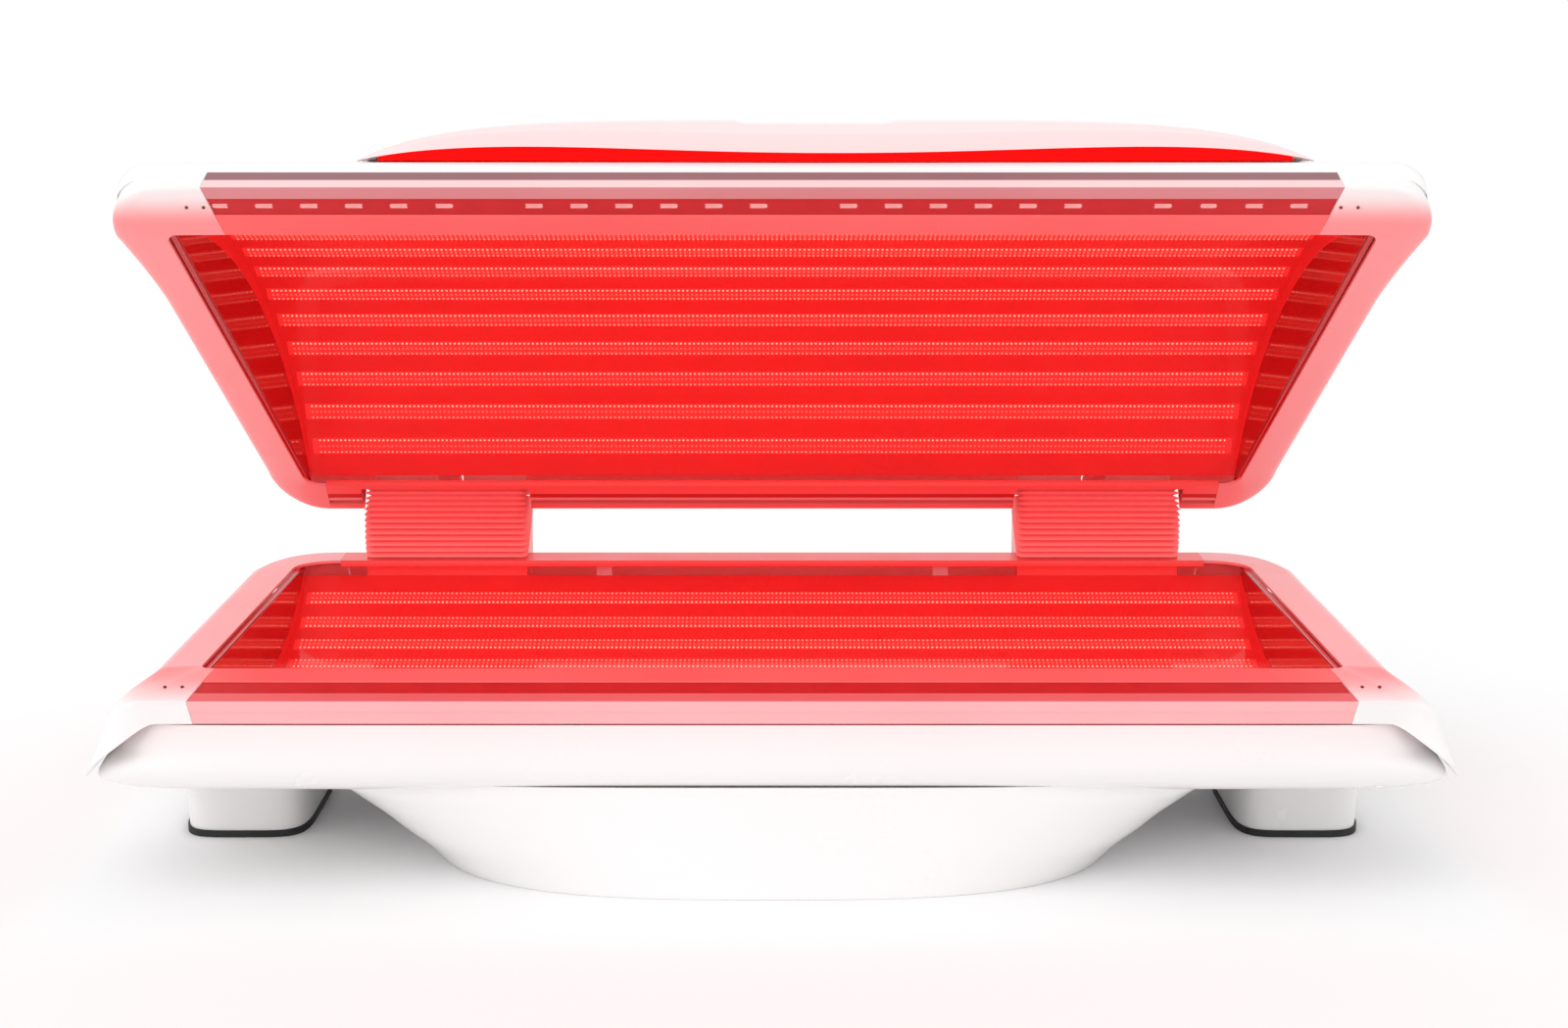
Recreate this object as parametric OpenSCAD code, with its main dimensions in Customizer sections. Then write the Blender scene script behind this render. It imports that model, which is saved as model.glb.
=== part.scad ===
// Red light therapy bed: a full length clamshell with a light tub below and a hinged light canopy above.
// Millimetres, Z up, the front faces -Y. The origin is on the floor, under the middle of the bed.
// The canopy is drawn as it lies when shut, and then turned open about its hinge line.

/* [Overall size] */
// Length over the two end covers
overall_length = 2250; // [2160:10:2500]
// Depth from the front nose to the back of the rear cover
overall_depth = 1324; // [1280:2:1400]
// Height of the rim of the lower bed above the floor
rim_height = 385; // [370:1:460]
// Front to back width of the opening, the same in the bed and in the canopy
opening_depth = 885; // [840:5:900]

/* [Bed] */
// Length of the opening along its front edge
bed_opening_front = 1870; // [1800:5:1890]
// Length of the opening along its rear edge
bed_opening_rear = 1850; // [1780:5:1870]
// Radius of the rear corners of the opening
bed_corner_radius = 80; // [50:5:110]
// Width of the flat top of the end rails
end_rail_width = 54; // [40:1:60]
// Width of the rear rim
rear_rim_width = 80; // [70:1:84]
// Height above the floor of the lowest edge of the end covers
fender_height = 210; // [206:1:225]
// Height above the floor of the flat belly
belly_height = 175; // [165:1:176]
// Depth of the curve of the bed acrylic below its edges
bed_sag = 130; // [100:1:132]

/* [Rim profile] */
// How far the nose of the front rim stands ahead of the opening
nose_reach = 92; // [80:1:100]
// How far the nose lies below the rim
nose_drop = 32; // [24:1:36]
// How far the chin lies behind the nose
chin_back = 17; // [10:1:24]
// How far the chin lies below the nose
chin_drop = 42; // [34:1:46]
// Width of the coloured band between the opening and the mesh
band_width = 41; // [30:1:44]
// Width of the mesh strip
mesh_width = 32; // [20:1:36]
// Depth of the groove that the mesh strip lies in
mesh_groove = 3; // [2:0.5:4]
// Wall of the aluminium rim profiles
profile_wall = 4; // [3:0.5:6]

/* [Canopy] */
// Length over the ends of the canopy shell
canopy_length = 2150; // [2100:2:2180]
// Length of the canopy opening along its front edge
canopy_opening_front = 2000; // [1900:5:2010]
// Length of the canopy opening along its rear edge
canopy_opening_rear = 1816; // [1780:2:1860]
// Radius of the rear corners of the canopy opening
canopy_corner_radius = 40; // [30:1:60]
// Width of the flat faces of the canopy end rails
canopy_rail_width = 58; // [40:1:60]
// Gap between the rims when the canopy is shut
shut_gap = 20; // [16:1:30]
// Height of the front edge of the outer shell above the shut rim
shell_edge_height = 98; // [96:1:110]
// Rise of the outer shell from its edges to its crest
shell_rise = 180; // [170:1:200]
// Depth of the curve of the canopy acrylic
canopy_sag = 150; // [120:1:160]
// Length over the ends of the canopy shell at its rear edge
canopy_rear_length = 2000; // [1960:2:2060]
// How much further the front corners of the canopy stand out
corner_flare = 23; // [0:1:30]
// Angle of the canopy when open, as drawn
open_angle = 37.8; // [30:0.1:42]

/* [Hinge and gas springs] */
// Distance of the hinge line behind the rear edge of the opening
hinge_back = 185; // [180:1:200]
// Height of the hinge line above the bed rim
hinge_up = 97; // [90:1:110]
// Distance of each hinge from the middle of the bed
hinge_offset = 640; // [600:1:680]
// Radius of the hinge pins
hinge_pin_radius = 10; // [8:0.5:12]
// Distance of the gas spring studs from the hinge line
stud_arm = 90; // [80:1:96]
// Outer radius of the gas spring cylinders
cylinder_radius = 11; // [9:0.5:13]
// Radius of the gas spring rods
rod_radius = 5; // [4:0.5:6]

/* [Bellows] */
// Length of each bellows along the rim
bellows_length = 306; // [260:2:320]
// Distance of each bellows from the middle of the bed
bellows_offset = 638; // [600:1:680]
// Front to back depth of each bellows
bellows_depth = 132; // [110:1:136]
// Depth of the pleats
pleat_depth = 16; // [8:1:20]
// Number of pleats in each bellows
pleats = 13; // [8:1:18]

/* [Hood] */
// Distance of the left end of the hood from the middle of the canopy
hood_left = 690; // [600:5:700]
// Distance of the right end of the hood from the middle of the canopy
hood_right = 900; // [800:5:920]
// Height of the crest of the hood above the shell
hood_height = 73; // [50:1:100]
// Front to back depth of the hood along its top
hood_depth = 430; // [380:5:480]

/* [Stand] */
// Half the length of the pedestal on the floor
pedestal_half = 600; // [520:5:640]
// Half the length of the pedestal at its top
pedestal_top_half = 790; // [700:5:820]
// Front to back depth of the pedestal on the floor
pedestal_depth = 980; // [900:5:1000]
// Length of each foot pad
pad_length = 225; // [180:1:230]
// Front to back depth of each foot pad
pad_depth = 380; // [300:5:420]
// Thickness of the foot pads
pad_height = 12; // [8:1:16]

/* [Light] */
// Rows of lamps in the bed and in the canopy, two to a board
lamp_rows = 24; // [16:2:28]
// Width of each lamp board
board_width = 34; // [20:1:36]
// Gap between the acrylic and the tray behind it
lamp_gap = 32; // [26:1:34]
// Thickness of the acrylic sheets
acrylic_wall = 4; // [3:0.5:5]

/* [Shells and covers] */
// Wall of the moulded covers
cover_wall = 4; // [3:0.5:5]
// Wall of the steel trays
tray_wall = 1.5; // [1:0.5:2]
// Width of the square fan frames
fan_size = 92; // [80:1:92]

/* [Hidden] */

// Clearances: flat faces that meet, soft or curved faces, and running fits
seat = 0.3;
running = 0.05;
slot_gap = 3;

half_length = overall_length / 2;
front_y = nose_reach - overall_depth / 2;
rear_y = front_y + opening_depth;
back_y = overall_depth / 2;
hinge_y = rear_y + hinge_back;
hinge_z = rim_height + hinge_up;
shut_z = rim_height + shut_gap;
chin_depth = nose_drop + chin_drop;
middle_y = front_y + opening_depth / 2;
post_x = 330;
post_rows = [front_y + 200, front_y + 720];

white = "whitesmoke";
steel = "silver";
dark = [0.13, 0.13, 0.14];
coral = [1, 0.4, 0.4];

function mix(a, b, t) = a + (b - a) * t;
function smooth(t) = let (c = min(1, max(0, t))) c * c * (3 - 2 * c);
function unit(v) = v / norm(v);

// Extrudes an outline drawn in Y and Z along X, between two places
module along_x(x0, x1) {
    translate([x0, 0, 0]) rotate([90, 0, 90]) linear_extrude(x1 - x0) children();
}
module mirrored_pair() {
    children();
    mirror([1, 0, 0]) children();
}
module canopy_pose() {
    translate([0, hinge_y, hinge_z]) rotate([-open_angle, 0, 0])
        translate([0, -hinge_y, -hinge_z]) children();
}

// A polyhedron of triangles, turned so that its faces point outwards
module closed_mesh(pts, faces) {
    volumes = [for (f = faces) cross(pts[f[0]], pts[f[1]]) * pts[f[2]]];
    total = volumes * [for (v = volumes) 1];
    polyhedron(points = pts, faces = total < 0 ? faces : [for (f = faces) [f[0], f[2], f[1]]]);
}

// A thin wall between two grids of points, outer[i][k] and inner[i][k].
// Around is true where each row is a closed ring. The first and last rows are closed by the wall's edge.
module walled(outer, inner, around = false) {
    rows = len(outer);
    cols = len(outer[0]);
    size = rows * cols;
    last = around ? cols - 1 : cols - 2;
    pts = concat([for (r = outer) for (p = r) p], [for (r = inner) for (p = r) p]);
    function o(i, k) = i * cols + k % cols;
    function n(i, k) = size + i * cols + k % cols;
    faces = concat(
        [for (i = [0:rows - 2]) for (k = [0:last]) for (f = [
            [o(i, k), o(i + 1, k), o(i + 1, k + 1)], [o(i, k), o(i + 1, k + 1), o(i, k + 1)],
            [n(i, k), n(i + 1, k + 1), n(i + 1, k)], [n(i, k), n(i, k + 1), n(i + 1, k + 1)]]) f],
        [for (k = [0:last]) for (f = [
            [o(0, k), o(0, k + 1), n(0, k + 1)], [o(0, k), n(0, k + 1), n(0, k)],
            [o(rows - 1, k), n(rows - 1, k + 1), o(rows - 1, k + 1)],
            [o(rows - 1, k), n(rows - 1, k), n(rows - 1, k + 1)]]) f],
        around ? [] : [for (i = [0:rows - 2]) for (f = [
            [o(i, 0), n(i + 1, 0), o(i + 1, 0)], [o(i, 0), n(i, 0), n(i + 1, 0)],
            [o(i, last + 1), o(i + 1, last + 1), n(i + 1, last + 1)],
            [o(i, last + 1), n(i + 1, last + 1), n(i, last + 1)]]) f]);
    closed_mesh(pts, faces);
}

// A solid through rings of points. Each end is closed by triangles about its middle point.
function middle(ring) = [for (j = [0:2]) ([for (p = ring) p[j]] * [for (p = ring) 1]) / len(ring)];
module lofted(rings) {
    rows = len(rings);
    cols = len(rings[0]);
    size = rows * cols;
    faces = concat(
        [for (i = [0:rows - 2]) for (k = [0:cols - 1]) for (f = [
            [i * cols + k, (i + 1) * cols + k, (i + 1) * cols + (k + 1) % cols],
            [i * cols + k, (i + 1) * cols + (k + 1) % cols, i * cols + (k + 1) % cols]]) f],
        [for (k = [0:cols - 1]) [size, k, (k + 1) % cols]],
        [for (k = [0:cols - 1]) [size + 1, size - cols + (k + 1) % cols, size - cols + k]]);
    closed_mesh(concat([for (r = rings) for (p = r) p], [middle(rings[0]), middle(rings[rows - 1])]),
        faces);
}

// A flat outline moved inwards by the wall, its ends square to the line
function inset_line(pts, wall) = [for (i = [0:len(pts) - 1])
    let (a = pts[max(0, i - 1)], b = pts[min(len(pts) - 1, i + 1)], t = unit(b - a))
    pts[i] + wall * [t[1], -t[0]]];

// A plan outline between a full ellipse and a rectangle, at one height
function plan_ring(cx, cy, half_x, half_y, power, z, count) = [for (i = [0:count - 1])
    let (a = 45 + 360 * i / count, c = cos(a), s = sin(a))
    [cx + half_x * sign(c) * pow(abs(c), 2 / power), cy + half_y * sign(s) * pow(abs(s), 2 / power), z]];

// Front nose of the rim, as a line from the edge of the opening to the chin.
// Side is -1 for the bed, where the nose drops, and 1 for the canopy, where it rises.
nose_slope = sqrt(nose_reach * nose_reach + nose_drop * nose_drop);
function nose_point(s, t, side) =
    let (u = [-nose_reach, side * nose_drop] / nose_slope, n = [side * u[1], -side * u[0]])
    s * u + t * n;
function chin_point(side) = [chin_back - nose_reach, side * chin_depth];
module nose_outline(side) {
    wall = profile_wall;
    end = chin_point(side);
    polygon([nose_point(0, 0, side), nose_point(band_width, 0, side),
        nose_point(band_width, mesh_groove, side), nose_point(band_width + mesh_width, mesh_groove, side),
        nose_point(band_width + mesh_width, 0, side), [-nose_reach, side * nose_drop], end,
        end + [wall, 0], [wall * 1.3 - nose_reach, side * (nose_drop + wall)],
        nose_point(band_width + mesh_width, mesh_groove + wall, side),
        nose_point(band_width, mesh_groove + wall, side), nose_point(wall, wall, side),
        [0, side * 12], [0, 0]]);
}
module mesh_outline(side) {
    polygon([nose_point(band_width + seat, mesh_groove, side),
        nose_point(band_width + seat, mesh_groove - 2, side),
        nose_point(band_width + mesh_width - seat, mesh_groove - 2, side),
        nose_point(band_width + mesh_width - seat, mesh_groove, side)]);
}

// Plan in which the front profiles end: their seams slant outwards towards the nose
front_seam = bed_opening_front / 2 - 24;
canopy_seam = canopy_opening_front / 2 - 97;
seam_slant = 28;
module seam_plan(seam, gap, low) {
    more = seam_slant / nose_reach;
    inner = seam - gap - more;
    outer = seam + seam_slant - gap + more;
    translate([0, 0, low]) linear_extrude(rim_height)
        polygon([[-inner, front_y + 1], [inner, front_y + 1],
            [outer, front_y - nose_reach - 1], [-outer, front_y - nose_reach - 1]]);
}

module front_rim_profile() {
    color(coral) intersection() {
        along_x(-half_length, half_length) translate([front_y, rim_height]) nose_outline(-1);
        seam_plan(front_seam, 0, rim_height / 2);
    }
}
module front_rim_mesh() {
    color("crimson") intersection() {
        along_x(-half_length, half_length) translate([front_y, rim_height]) mesh_outline(-1);
        seam_plan(front_seam, 2, rim_height / 2);
    }
}

// Sections of the end covers, as shares of their reach and depth, from the rim to the lower edge
lip_depth = 12;
corner_lip = 5.5;
front_section = [[0, 0], [0.54, 0.22], [0.85, 0.36], [0.97, 0.42], [1, 0.46], [0.91, 0.73], [0.815, 1]];
top_share = end_rail_width / (overall_length / 2 - bed_opening_front / 2);
side_section = [[0, 0], [top_share, 0], [top_share + 0.07, 0.02], [0.45, 0.14], [0.62, 0.4], [0.83, 0.72],
    [1, 1]];
deck_section = [[0, 0], [0.233, 0], [0.277, 0.39], [0.335, 0.74], [0.58, 0.82], [0.9, 0.88], [1, 1]];

front_corner = 20;
side_depth = rim_height - fender_height;
deck_reach = back_y - rear_y;
deck_depth = 72;
corner_steps = 8;
seam_angle = atan2(-nose_reach, seam_slant);

// Reach of an outer edge along a direction, for a rounded corner with the given reaches
function corner_reach(a, b, angle, power) =
    pow(pow(abs(cos(angle)) / a, power) + pow(abs(sin(angle)) / b, power), -1 / power);

// A row of points of an end cover or end rail, and the same line moved inwards by the wall. Side is -1
// where the section falls away from the rim, and 1 where it rises.
function row_line(reach, depth, section, wall, side) =
    let (line = concat([[0, side * corner_lip]], [for (q = section) [q[0] * reach, side * q[1] * depth]]),
        inner = inset_line(line, -side * wall))
    wall == 0 ? line : concat([[0.6 * wall, side * corner_lip], [0.7 * wall, side * (corner_lip - 1)]],
        [for (k = [2:len(line) - 1]) inner[k]]);

// One row of the end cover: a place on the rim, the direction outwards, and its section there
function cover_row(base, direction, reach, depth, section, wall) =
    let (used = row_line(reach, depth, section, wall, -1))
    [for (q = used) [base[0] + direction[0] * q[0], base[1] + direction[1] * q[0], rim_height + q[1]]];

function blend_section(a, b, t) = [for (k = [0:len(a) - 1]) mix(a[k], b[k], t)];

function end_cover_grid(wall) =
    let (xf = bed_opening_front / 2, xr = bed_opening_rear / 2,
        cf = [xf - front_corner, front_y + front_corner],
        cr = [xr - bed_corner_radius, rear_y - bed_corner_radius],
        side_reach = half_length - xf, seam_x = front_seam + seat)
    concat(
        [let (d = unit([seam_slant, -nose_reach]))
            cover_row([seam_x, front_y], d, norm([seam_slant, nose_reach]), chin_depth, front_section,
                wall)],
        [for (i = [1:corner_steps]) let (a = seam_angle * (1 - i / corner_steps), t = smooth((a + 50) / 60),
                reach = corner_reach(side_reach + front_corner, nose_reach + front_corner, a, 3)
                    - front_corner)
            cover_row(cf + front_corner * [cos(a), sin(a)], [cos(a), sin(a)], reach,
                mix(chin_depth, side_depth, smooth((a + 60) / 60)),
                    blend_section(front_section, side_section, t), wall)],
        [for (t = [0.1, 0.35, 0.6, 0.85])
            let (y = mix(cf[1], cr[1], t), x = mix(xf, xr, t))
            cover_row([x, y], [1, 0], half_length - x, side_depth, side_section, wall)],
        [for (i = [0:corner_steps]) let (a = 90 * i / corner_steps, t = smooth(a / 80),
                reach = corner_reach(half_length - cr[0], deck_reach + bed_corner_radius, a, 3)
                    - bed_corner_radius)
            cover_row(cr + bed_corner_radius * [cos(a), sin(a)], [cos(a), sin(a)], reach,
                mix(side_depth, deck_depth, smooth((a - 10) / 70)),
                    blend_section(side_section, deck_section, t), wall)]);

module end_cover() {
    walled(end_cover_grid(0), end_cover_grid(cover_wall));
}
module end_cover_right() {
    color("white") end_cover();
}
module end_cover_left() {
    color("white") mirror([1, 0, 0]) end_cover();
}

rear_seam = bed_opening_rear / 2 - bed_corner_radius;
module rear_rim_profile() {
    color("mistyrose") difference() {
        along_x(-rear_seam + seat, rear_seam - seat) translate([rear_y, rim_height])
            polygon([[0, -lip_depth], [0, 0], [rear_rim_width, 0], [rear_rim_width + 2, -2],
                [rear_rim_width + 2, -30], [rear_rim_width - 2, -30], [rear_rim_width - 2, -4],
                [4, -4], [4, -lip_depth]]);
        mirrored_pair() bellows_well();
    }
}

// Place of the bellows: a well through the rear rim and the deck, seen in plan
bellows_front = rear_y + 15;
bellows_floor = rim_height + 2;
frame_grow = 4;
module bellows_well() {
    translate([bellows_offset - bellows_length / 2 - frame_grow - seat, bellows_front - seat,
        rim_height - 100])
        cube([bellows_length + 2 * frame_grow + 2 * seat, bellows_depth + 2 * seat, 150]);
}

function deck_line() = [for (q = deck_section) [q[0] * deck_reach, -q[1] * deck_depth]];
module rear_deck() {
    line = deck_line();
    used = [for (i = [1:len(line) - 1]) line[i]];
    start = [for (q = used) if (q[0] > rear_rim_width + 4) q];
    color("white") difference() {
        along_x(-rear_seam + seat, rear_seam - seat) translate([rear_y, rim_height])
            polygon(concat(start, [for (i = [len(start) - 1:-1:0]) start[i] - [0, cover_wall]]));
        mirrored_pair() bellows_well();
        mirrored_pair() post_slot();
    }
}
module post_slot() {
    translate([hinge_offset - post_width / 2 - slot_gap, hinge_y - post_depth / 2 - slot_gap,
        rim_height - 120])
        cube([post_width + 2 * slot_gap, post_depth + 2 * slot_gap, 120]);
}

// Lower shell: plan rings at falling heights, each drawn in at the ends and at the front and rear by its
// second and third values, with front corners as square as the fourth says
bowl_top = rim_height - chin_depth - 2.5;
bowl_levels = [[0, 72, 1, 22], [0.18, 56, 0, 18], [0.38, 38, 2, 14], [0.58, 22, 9, 11], [0.76, 18, 25, 10],
    [0.89, 46, 50, 13], [0.97, 80, 85, 16], [1, 130, 135, 16]];
bowl_half = half_length - 8;
bowl_front = front_y - nose_reach + chin_back;
bowl_back = back_y - 6;
bowl_rear_power = 10;
bowl_mid = (bowl_front + bowl_back) / 2;
// The upper edge dips under the rear corners of the end covers
corner_dip = 40;
function bowl_dip(x, y) = corner_dip * smooth((abs(x) - 900) / 140) * smooth((y - 60) / 240);
function bowl_plan(level, wall) =
    let (half_x = bowl_half - level[1] - wall, half_y = bowl_back - bowl_mid - level[2] - wall,
        front = plan_ring(0, bowl_mid, half_x, half_y, level[3], 0, 72),
        rear = plan_ring(0, bowl_mid, half_x, half_y, bowl_rear_power, 0, 72))
    [for (i = [0:71]) front[i][1] < bowl_mid ? front[i] : rear[i]];
function bowl_ring(level, wall) =
    [for (p = bowl_plan(level, wall)) [p[0], p[1],
        mix(bowl_top - bowl_dip(p[0], p[1]), belly_height, level[0])
            + (level[0] > 0.7 ? wall * (level[0] - 0.7) / 0.3 : 0)]];
module bowl_shell() {
    walled([for (l = bowl_levels) bowl_ring(l, 0)], [for (l = bowl_levels) bowl_ring(l, cover_wall)], true);
}
module bowl_solid() {
    lofted(concat([let (r = bowl_ring(bowl_levels[0], -seat)) [for (p = r) [p[0], p[1], rim_height]]],
        [for (l = bowl_levels) bowl_ring(l, -seat)]));
}
split_y = front_y + 480;
module front_cover() {
    color(white) intersection() {
        bowl_shell();
        translate([-overall_length, split_y - seat / 2 - overall_depth, 0])
            cube([2 * overall_length, overall_depth, rim_height]);
    }
}
module rear_cover() {
    color(white) difference() {
        intersection() {
            bowl_shell();
            translate([-overall_length, split_y + seat / 2, 0])
                cube([2 * overall_length, overall_depth, rim_height]);
        }
        mains_window();
        base_vents();
    }
}
// The pan is bolted up against the frame rails and rests on the edge of the lower shell
pan_lap = 4;
module belly_pan() {
    low = belly_height + cover_wall + seat;
    color(white) difference() {
        translate([0, 0, low]) linear_extrude(rail_z - low)
            polygon([for (p = bowl_plan(bowl_levels[len(bowl_levels) - 1], cover_wall - pan_lap))
                [p[0], p[1]]]);
        for (x = [-1, 1]) for (y = post_rows)
            translate([x * post_x - 21, y - 21, 0]) cube([42, 42, rim_height]);
        for (x = [-1, 1]) translate([x * leg_x - 31, leg_y - 31, 0]) cube([62, 62, rim_height]);
        for (x = [-1, 1]) translate([x * fan_x, fan_y, 0]) cylinder(h = rim_height, r = fan_bore, $fn = 64);
    }
}

// Pedestal: plan rings from the floor up, flared towards the top
pedestal_y = front_y - 30 + pedestal_depth / 2;
pedestal_levels = [[0, 0, 3], [0.16, 0.13, 3.2], [0.36, 0.36, 3.5], [0.52, 0.52, 3.8], [0.72, 0.76, 4.2],
    [0.9, 0.96, 4.6], [1, 1, 4.6]];
pedestal_top = belly_height + 20;
function pedestal_ring(level, wall) =
    plan_ring(0, pedestal_y, mix(pedestal_half, pedestal_top_half, level[1]) - wall,
        mix(pedestal_depth / 2, pedestal_depth / 2 + 14, level[1]) - wall, level[2],
        pedestal_top * level[0], 64);
module pedestal_skirt() {
    color(white) difference() {
        walled([for (i = [len(pedestal_levels) - 1:-1:0]) pedestal_ring(pedestal_levels[i], 0)],
            [for (i = [len(pedestal_levels) - 1:-1:0]) pedestal_ring(pedestal_levels[i], cover_wall)],
                true);
        bowl_solid();
    }
}

// Legs at the two ends
leg_x = half_length - 175;
leg_y = front_y + 314 + pad_depth / 2;
leg_levels = [[0, 0], [0.25, 0.03], [0.5, 0.12], [0.7, 0.3], [0.86, 0.58], [1, 1]];
leg_top = belly_height + 30;
pad_x = leg_x - 11;
function leg_ring(level, wall) =
    plan_ring(pad_x, leg_y, pad_length / 2 - 3 + 44 * level[1] - wall,
        pad_depth / 2 - 3 + 110 * level[1] - wall, 5, mix(pad_height, leg_top, level[0]), 40);
module leg_wall() {
    walled([for (i = [len(leg_levels) - 1:-1:0]) leg_ring(leg_levels[i], 0)],
        [for (i = [len(leg_levels) - 1:-1:0]) leg_ring(leg_levels[i], cover_wall)], true);
}
module leg_cover_right() {
    color(white) difference() {
        leg_wall();
        bowl_solid();
    }
}
module leg_cover_left() {
    color(white) difference() {
        mirror([1, 0, 0]) leg_wall();
        bowl_solid();
    }
}
module foot_pads() {
    color(dark) mirrored_pair() linear_extrude(pad_height)
        polygon([for (p = plan_ring(pad_x, leg_y, pad_length / 2, pad_depth / 2, 5, 0, 48)) [p[0], p[1]]]);
}

// Tub: acrylic, lamp boards and tray lie on arcs about one line
tub_edge = 4;
tub_chord = opening_depth - 2 * tub_edge;
function sag_radius(sag) = (tub_chord * tub_chord / 4 + sag * sag) / (2 * sag);
function sag_angle(sag) = asin(tub_chord / 2 / sag_radius(sag));
// Ring sector of the given wall, hung below the line (side -1) or arched above it (side 1)
module arc_sheet(sag, back, wall, side) {
    r = sag_radius(sag);
    a = sag_angle(sag);
    big = 2 * r;
    translate([middle_y, side * (sag - r)]) intersection() {
        difference() {
            circle(r = r + back + wall, $fn = 180);
            circle(r = r + back, $fn = 180);
        }
        polygon([[0, 0], [-big * sin(a), side * big * cos(a)], [0, side * big],
            [big * sin(a), side * big * cos(a)]]);
    }
}
// Plan of a tub, wider at the front than at the rear
module tub_plan(front, rear) {
    slope = (front - rear) / opening_depth;
    more = 60;
    translate([0, 0, -rim_height]) linear_extrude(2 * rim_height)
        polygon([[-front - slope * more, front_y - more], [front + slope * more, front_y - more],
            [rear - slope * more, rear_y + more], [slope * more - rear, rear_y + more]]);
}
plate = 3;
// A tray is an arched sheet with a plate welded over each end, which closes the tub
module lamp_tray(sag, front, rear, side) {
    intersection() {
        along_x(-half_length, half_length) arc_sheet(sag, lamp_gap, tray_wall, side);
        tub_plan(front, rear);
    }
    intersection() {
        along_x(-half_length, half_length) end_panel_outline(sag, side);
        difference() {
            tub_plan(front, rear);
            tub_plan(front - plate, rear - plate);
        }
    }
}
module tub_acrylic(sag, front, rear, side) {
    intersection() {
        along_x(-half_length, half_length) arc_sheet(sag, 0, acrylic_wall, side);
        tub_plan(front - plate - 2, rear - plate - 2);
    }
}
board_back = 2.1;
module lamp_boards(sag, front, rear, side) {
    r = sag_radius(sag);
    boards = lamp_rows / 2;
    step = 2 * (sag_angle(sag) - 2) / boards;
    for (i = [0:boards - 1]) let (a = step * (i - (boards - 1) / 2), out = r + lamp_gap - board_back,
        half = mix(front, rear, 0.5 + sin(a) * out / opening_depth) - 14)
        translate([0, middle_y, side * (sag - r)]) rotate([-side * a, 0, 0])
            translate([-half, -board_width / 2, side * out - (side > 0 ? 0 : 1.6)])
                cube([2 * half, board_width, 1.6]);
}
bed_edge_z = rim_height - 6;
bed_tub = [bed_opening_front / 2 - 6, bed_opening_rear / 2 - 6];
module bed_acrylic() {
    color([1, 0.6, 0.6, 0.5]) translate([0, 0, bed_edge_z])
        tub_acrylic(bed_sag, bed_tub[0], bed_tub[1], -1);
}
module bed_tray() {
    color(steel) translate([0, 0, bed_edge_z]) lamp_tray(bed_sag, bed_tub[0], bed_tub[1], -1);
}
module bed_lamp_boards() {
    color("firebrick") translate([0, 0, bed_edge_z]) lamp_boards(bed_sag, bed_tub[0], bed_tub[1], -1);
}
module end_panel_outline(sag, side) {
    r = sag_radius(sag);
    translate([middle_y, side * (sag - r)]) intersection() {
        circle(r = r + lamp_gap + tray_wall, $fn = 180);
        translate([-tub_chord / 2, side > 0 ? r - sag : -2 * r]) square([tub_chord, r + sag]);
    }
}

// Steel frame of the base
rail_height = 26;
rail_depth = 40;
rail_z = belly_height + 8;
frame_front_y = front_y + 48;
frame_half = half_length - 170;
module frame_rail(y) {
    translate([-frame_half, y - rail_depth / 2, rail_z]) difference() {
        cube([2 * frame_half, rail_depth, rail_height]);
        translate([-1, 2, 2]) cube([2 * frame_half + 2, rail_depth - 4, rail_height - 4]);
    }
}
module frame_front_rail() {
    color(steel) frame_rail(frame_front_y);
}
module frame_rear_rail() {
    color(steel) frame_rail(hinge_y);
}
cross_places = [-frame_half + 22, -post_x, post_x, frame_half - 22];
module frame_cross_members() {
    y0 = frame_front_y + rail_depth / 2;
    y1 = hinge_y - rail_depth / 2;
    color(steel) for (x = cross_places) translate([x - 20, y0, rail_z]) difference() {
        cube([40, y1 - y0, rail_height]);
        translate([2, -1, 2]) cube([36, y1 - y0 + 2, rail_height - 4]);
    }
}
// Uprights of bent strip hold the edges of the tray and the rims
upright_width = 30;
strip = 4;
module frame_uprights() {
    slope = nose_drop / nose_reach;
    z0 = rail_z + rail_height;
    low = -mesh_groove - 2 * profile_wall - 1;
    face = frame_front_y - rail_depth / 2 - front_y;
    rear = [opening_depth + 22, opening_depth + rear_rim_width - 8];
    color(steel) {
        for (x = cross_places) along_x(x - upright_width / 2, x + upright_width / 2)
            translate([front_y, 0]) polygon([[face, rail_z + 2], [face, z0], [-16, z0 + 32],
                [-16, rim_height + low - 16 * slope], [-62, rim_height + low - 62 * slope],
                [-62, rim_height + low - strip - 62 * slope],
                [-16 - strip, rim_height + low - strip - 16 * slope],
                [-16 - strip, z0 + 30], [face - strip, z0 - 2], [face - strip, rail_z + 2]]);
        for (x = [-post_x, post_x]) along_x(x - upright_width / 2, x + upright_width / 2)
            translate([front_y, 0]) polygon([[rear[0] + 20, z0], [rear[0] - strip, z0],
                [rear[0] - strip, rim_height - strip - 1], [rear[1], rim_height - strip - 1],
                [rear[1], rim_height - 2 * strip - 1], [rear[0], rim_height - 2 * strip - 1],
                [rear[0], z0 + strip], [rear[0] + 20, z0 + strip]]);
    }
}
module frame_posts() {
    color(steel) {
        for (x = [-1, 1]) for (y = post_rows)
            translate([x * post_x - 20, y - 20, 0]) cube([40, 40, rail_z]);
        for (x = [-1, 1])
            translate([x * leg_x - 30, leg_y - 30, pad_height]) cube([60, 60, rail_z - pad_height]);
    }
}
tray_z = 16;
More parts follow.
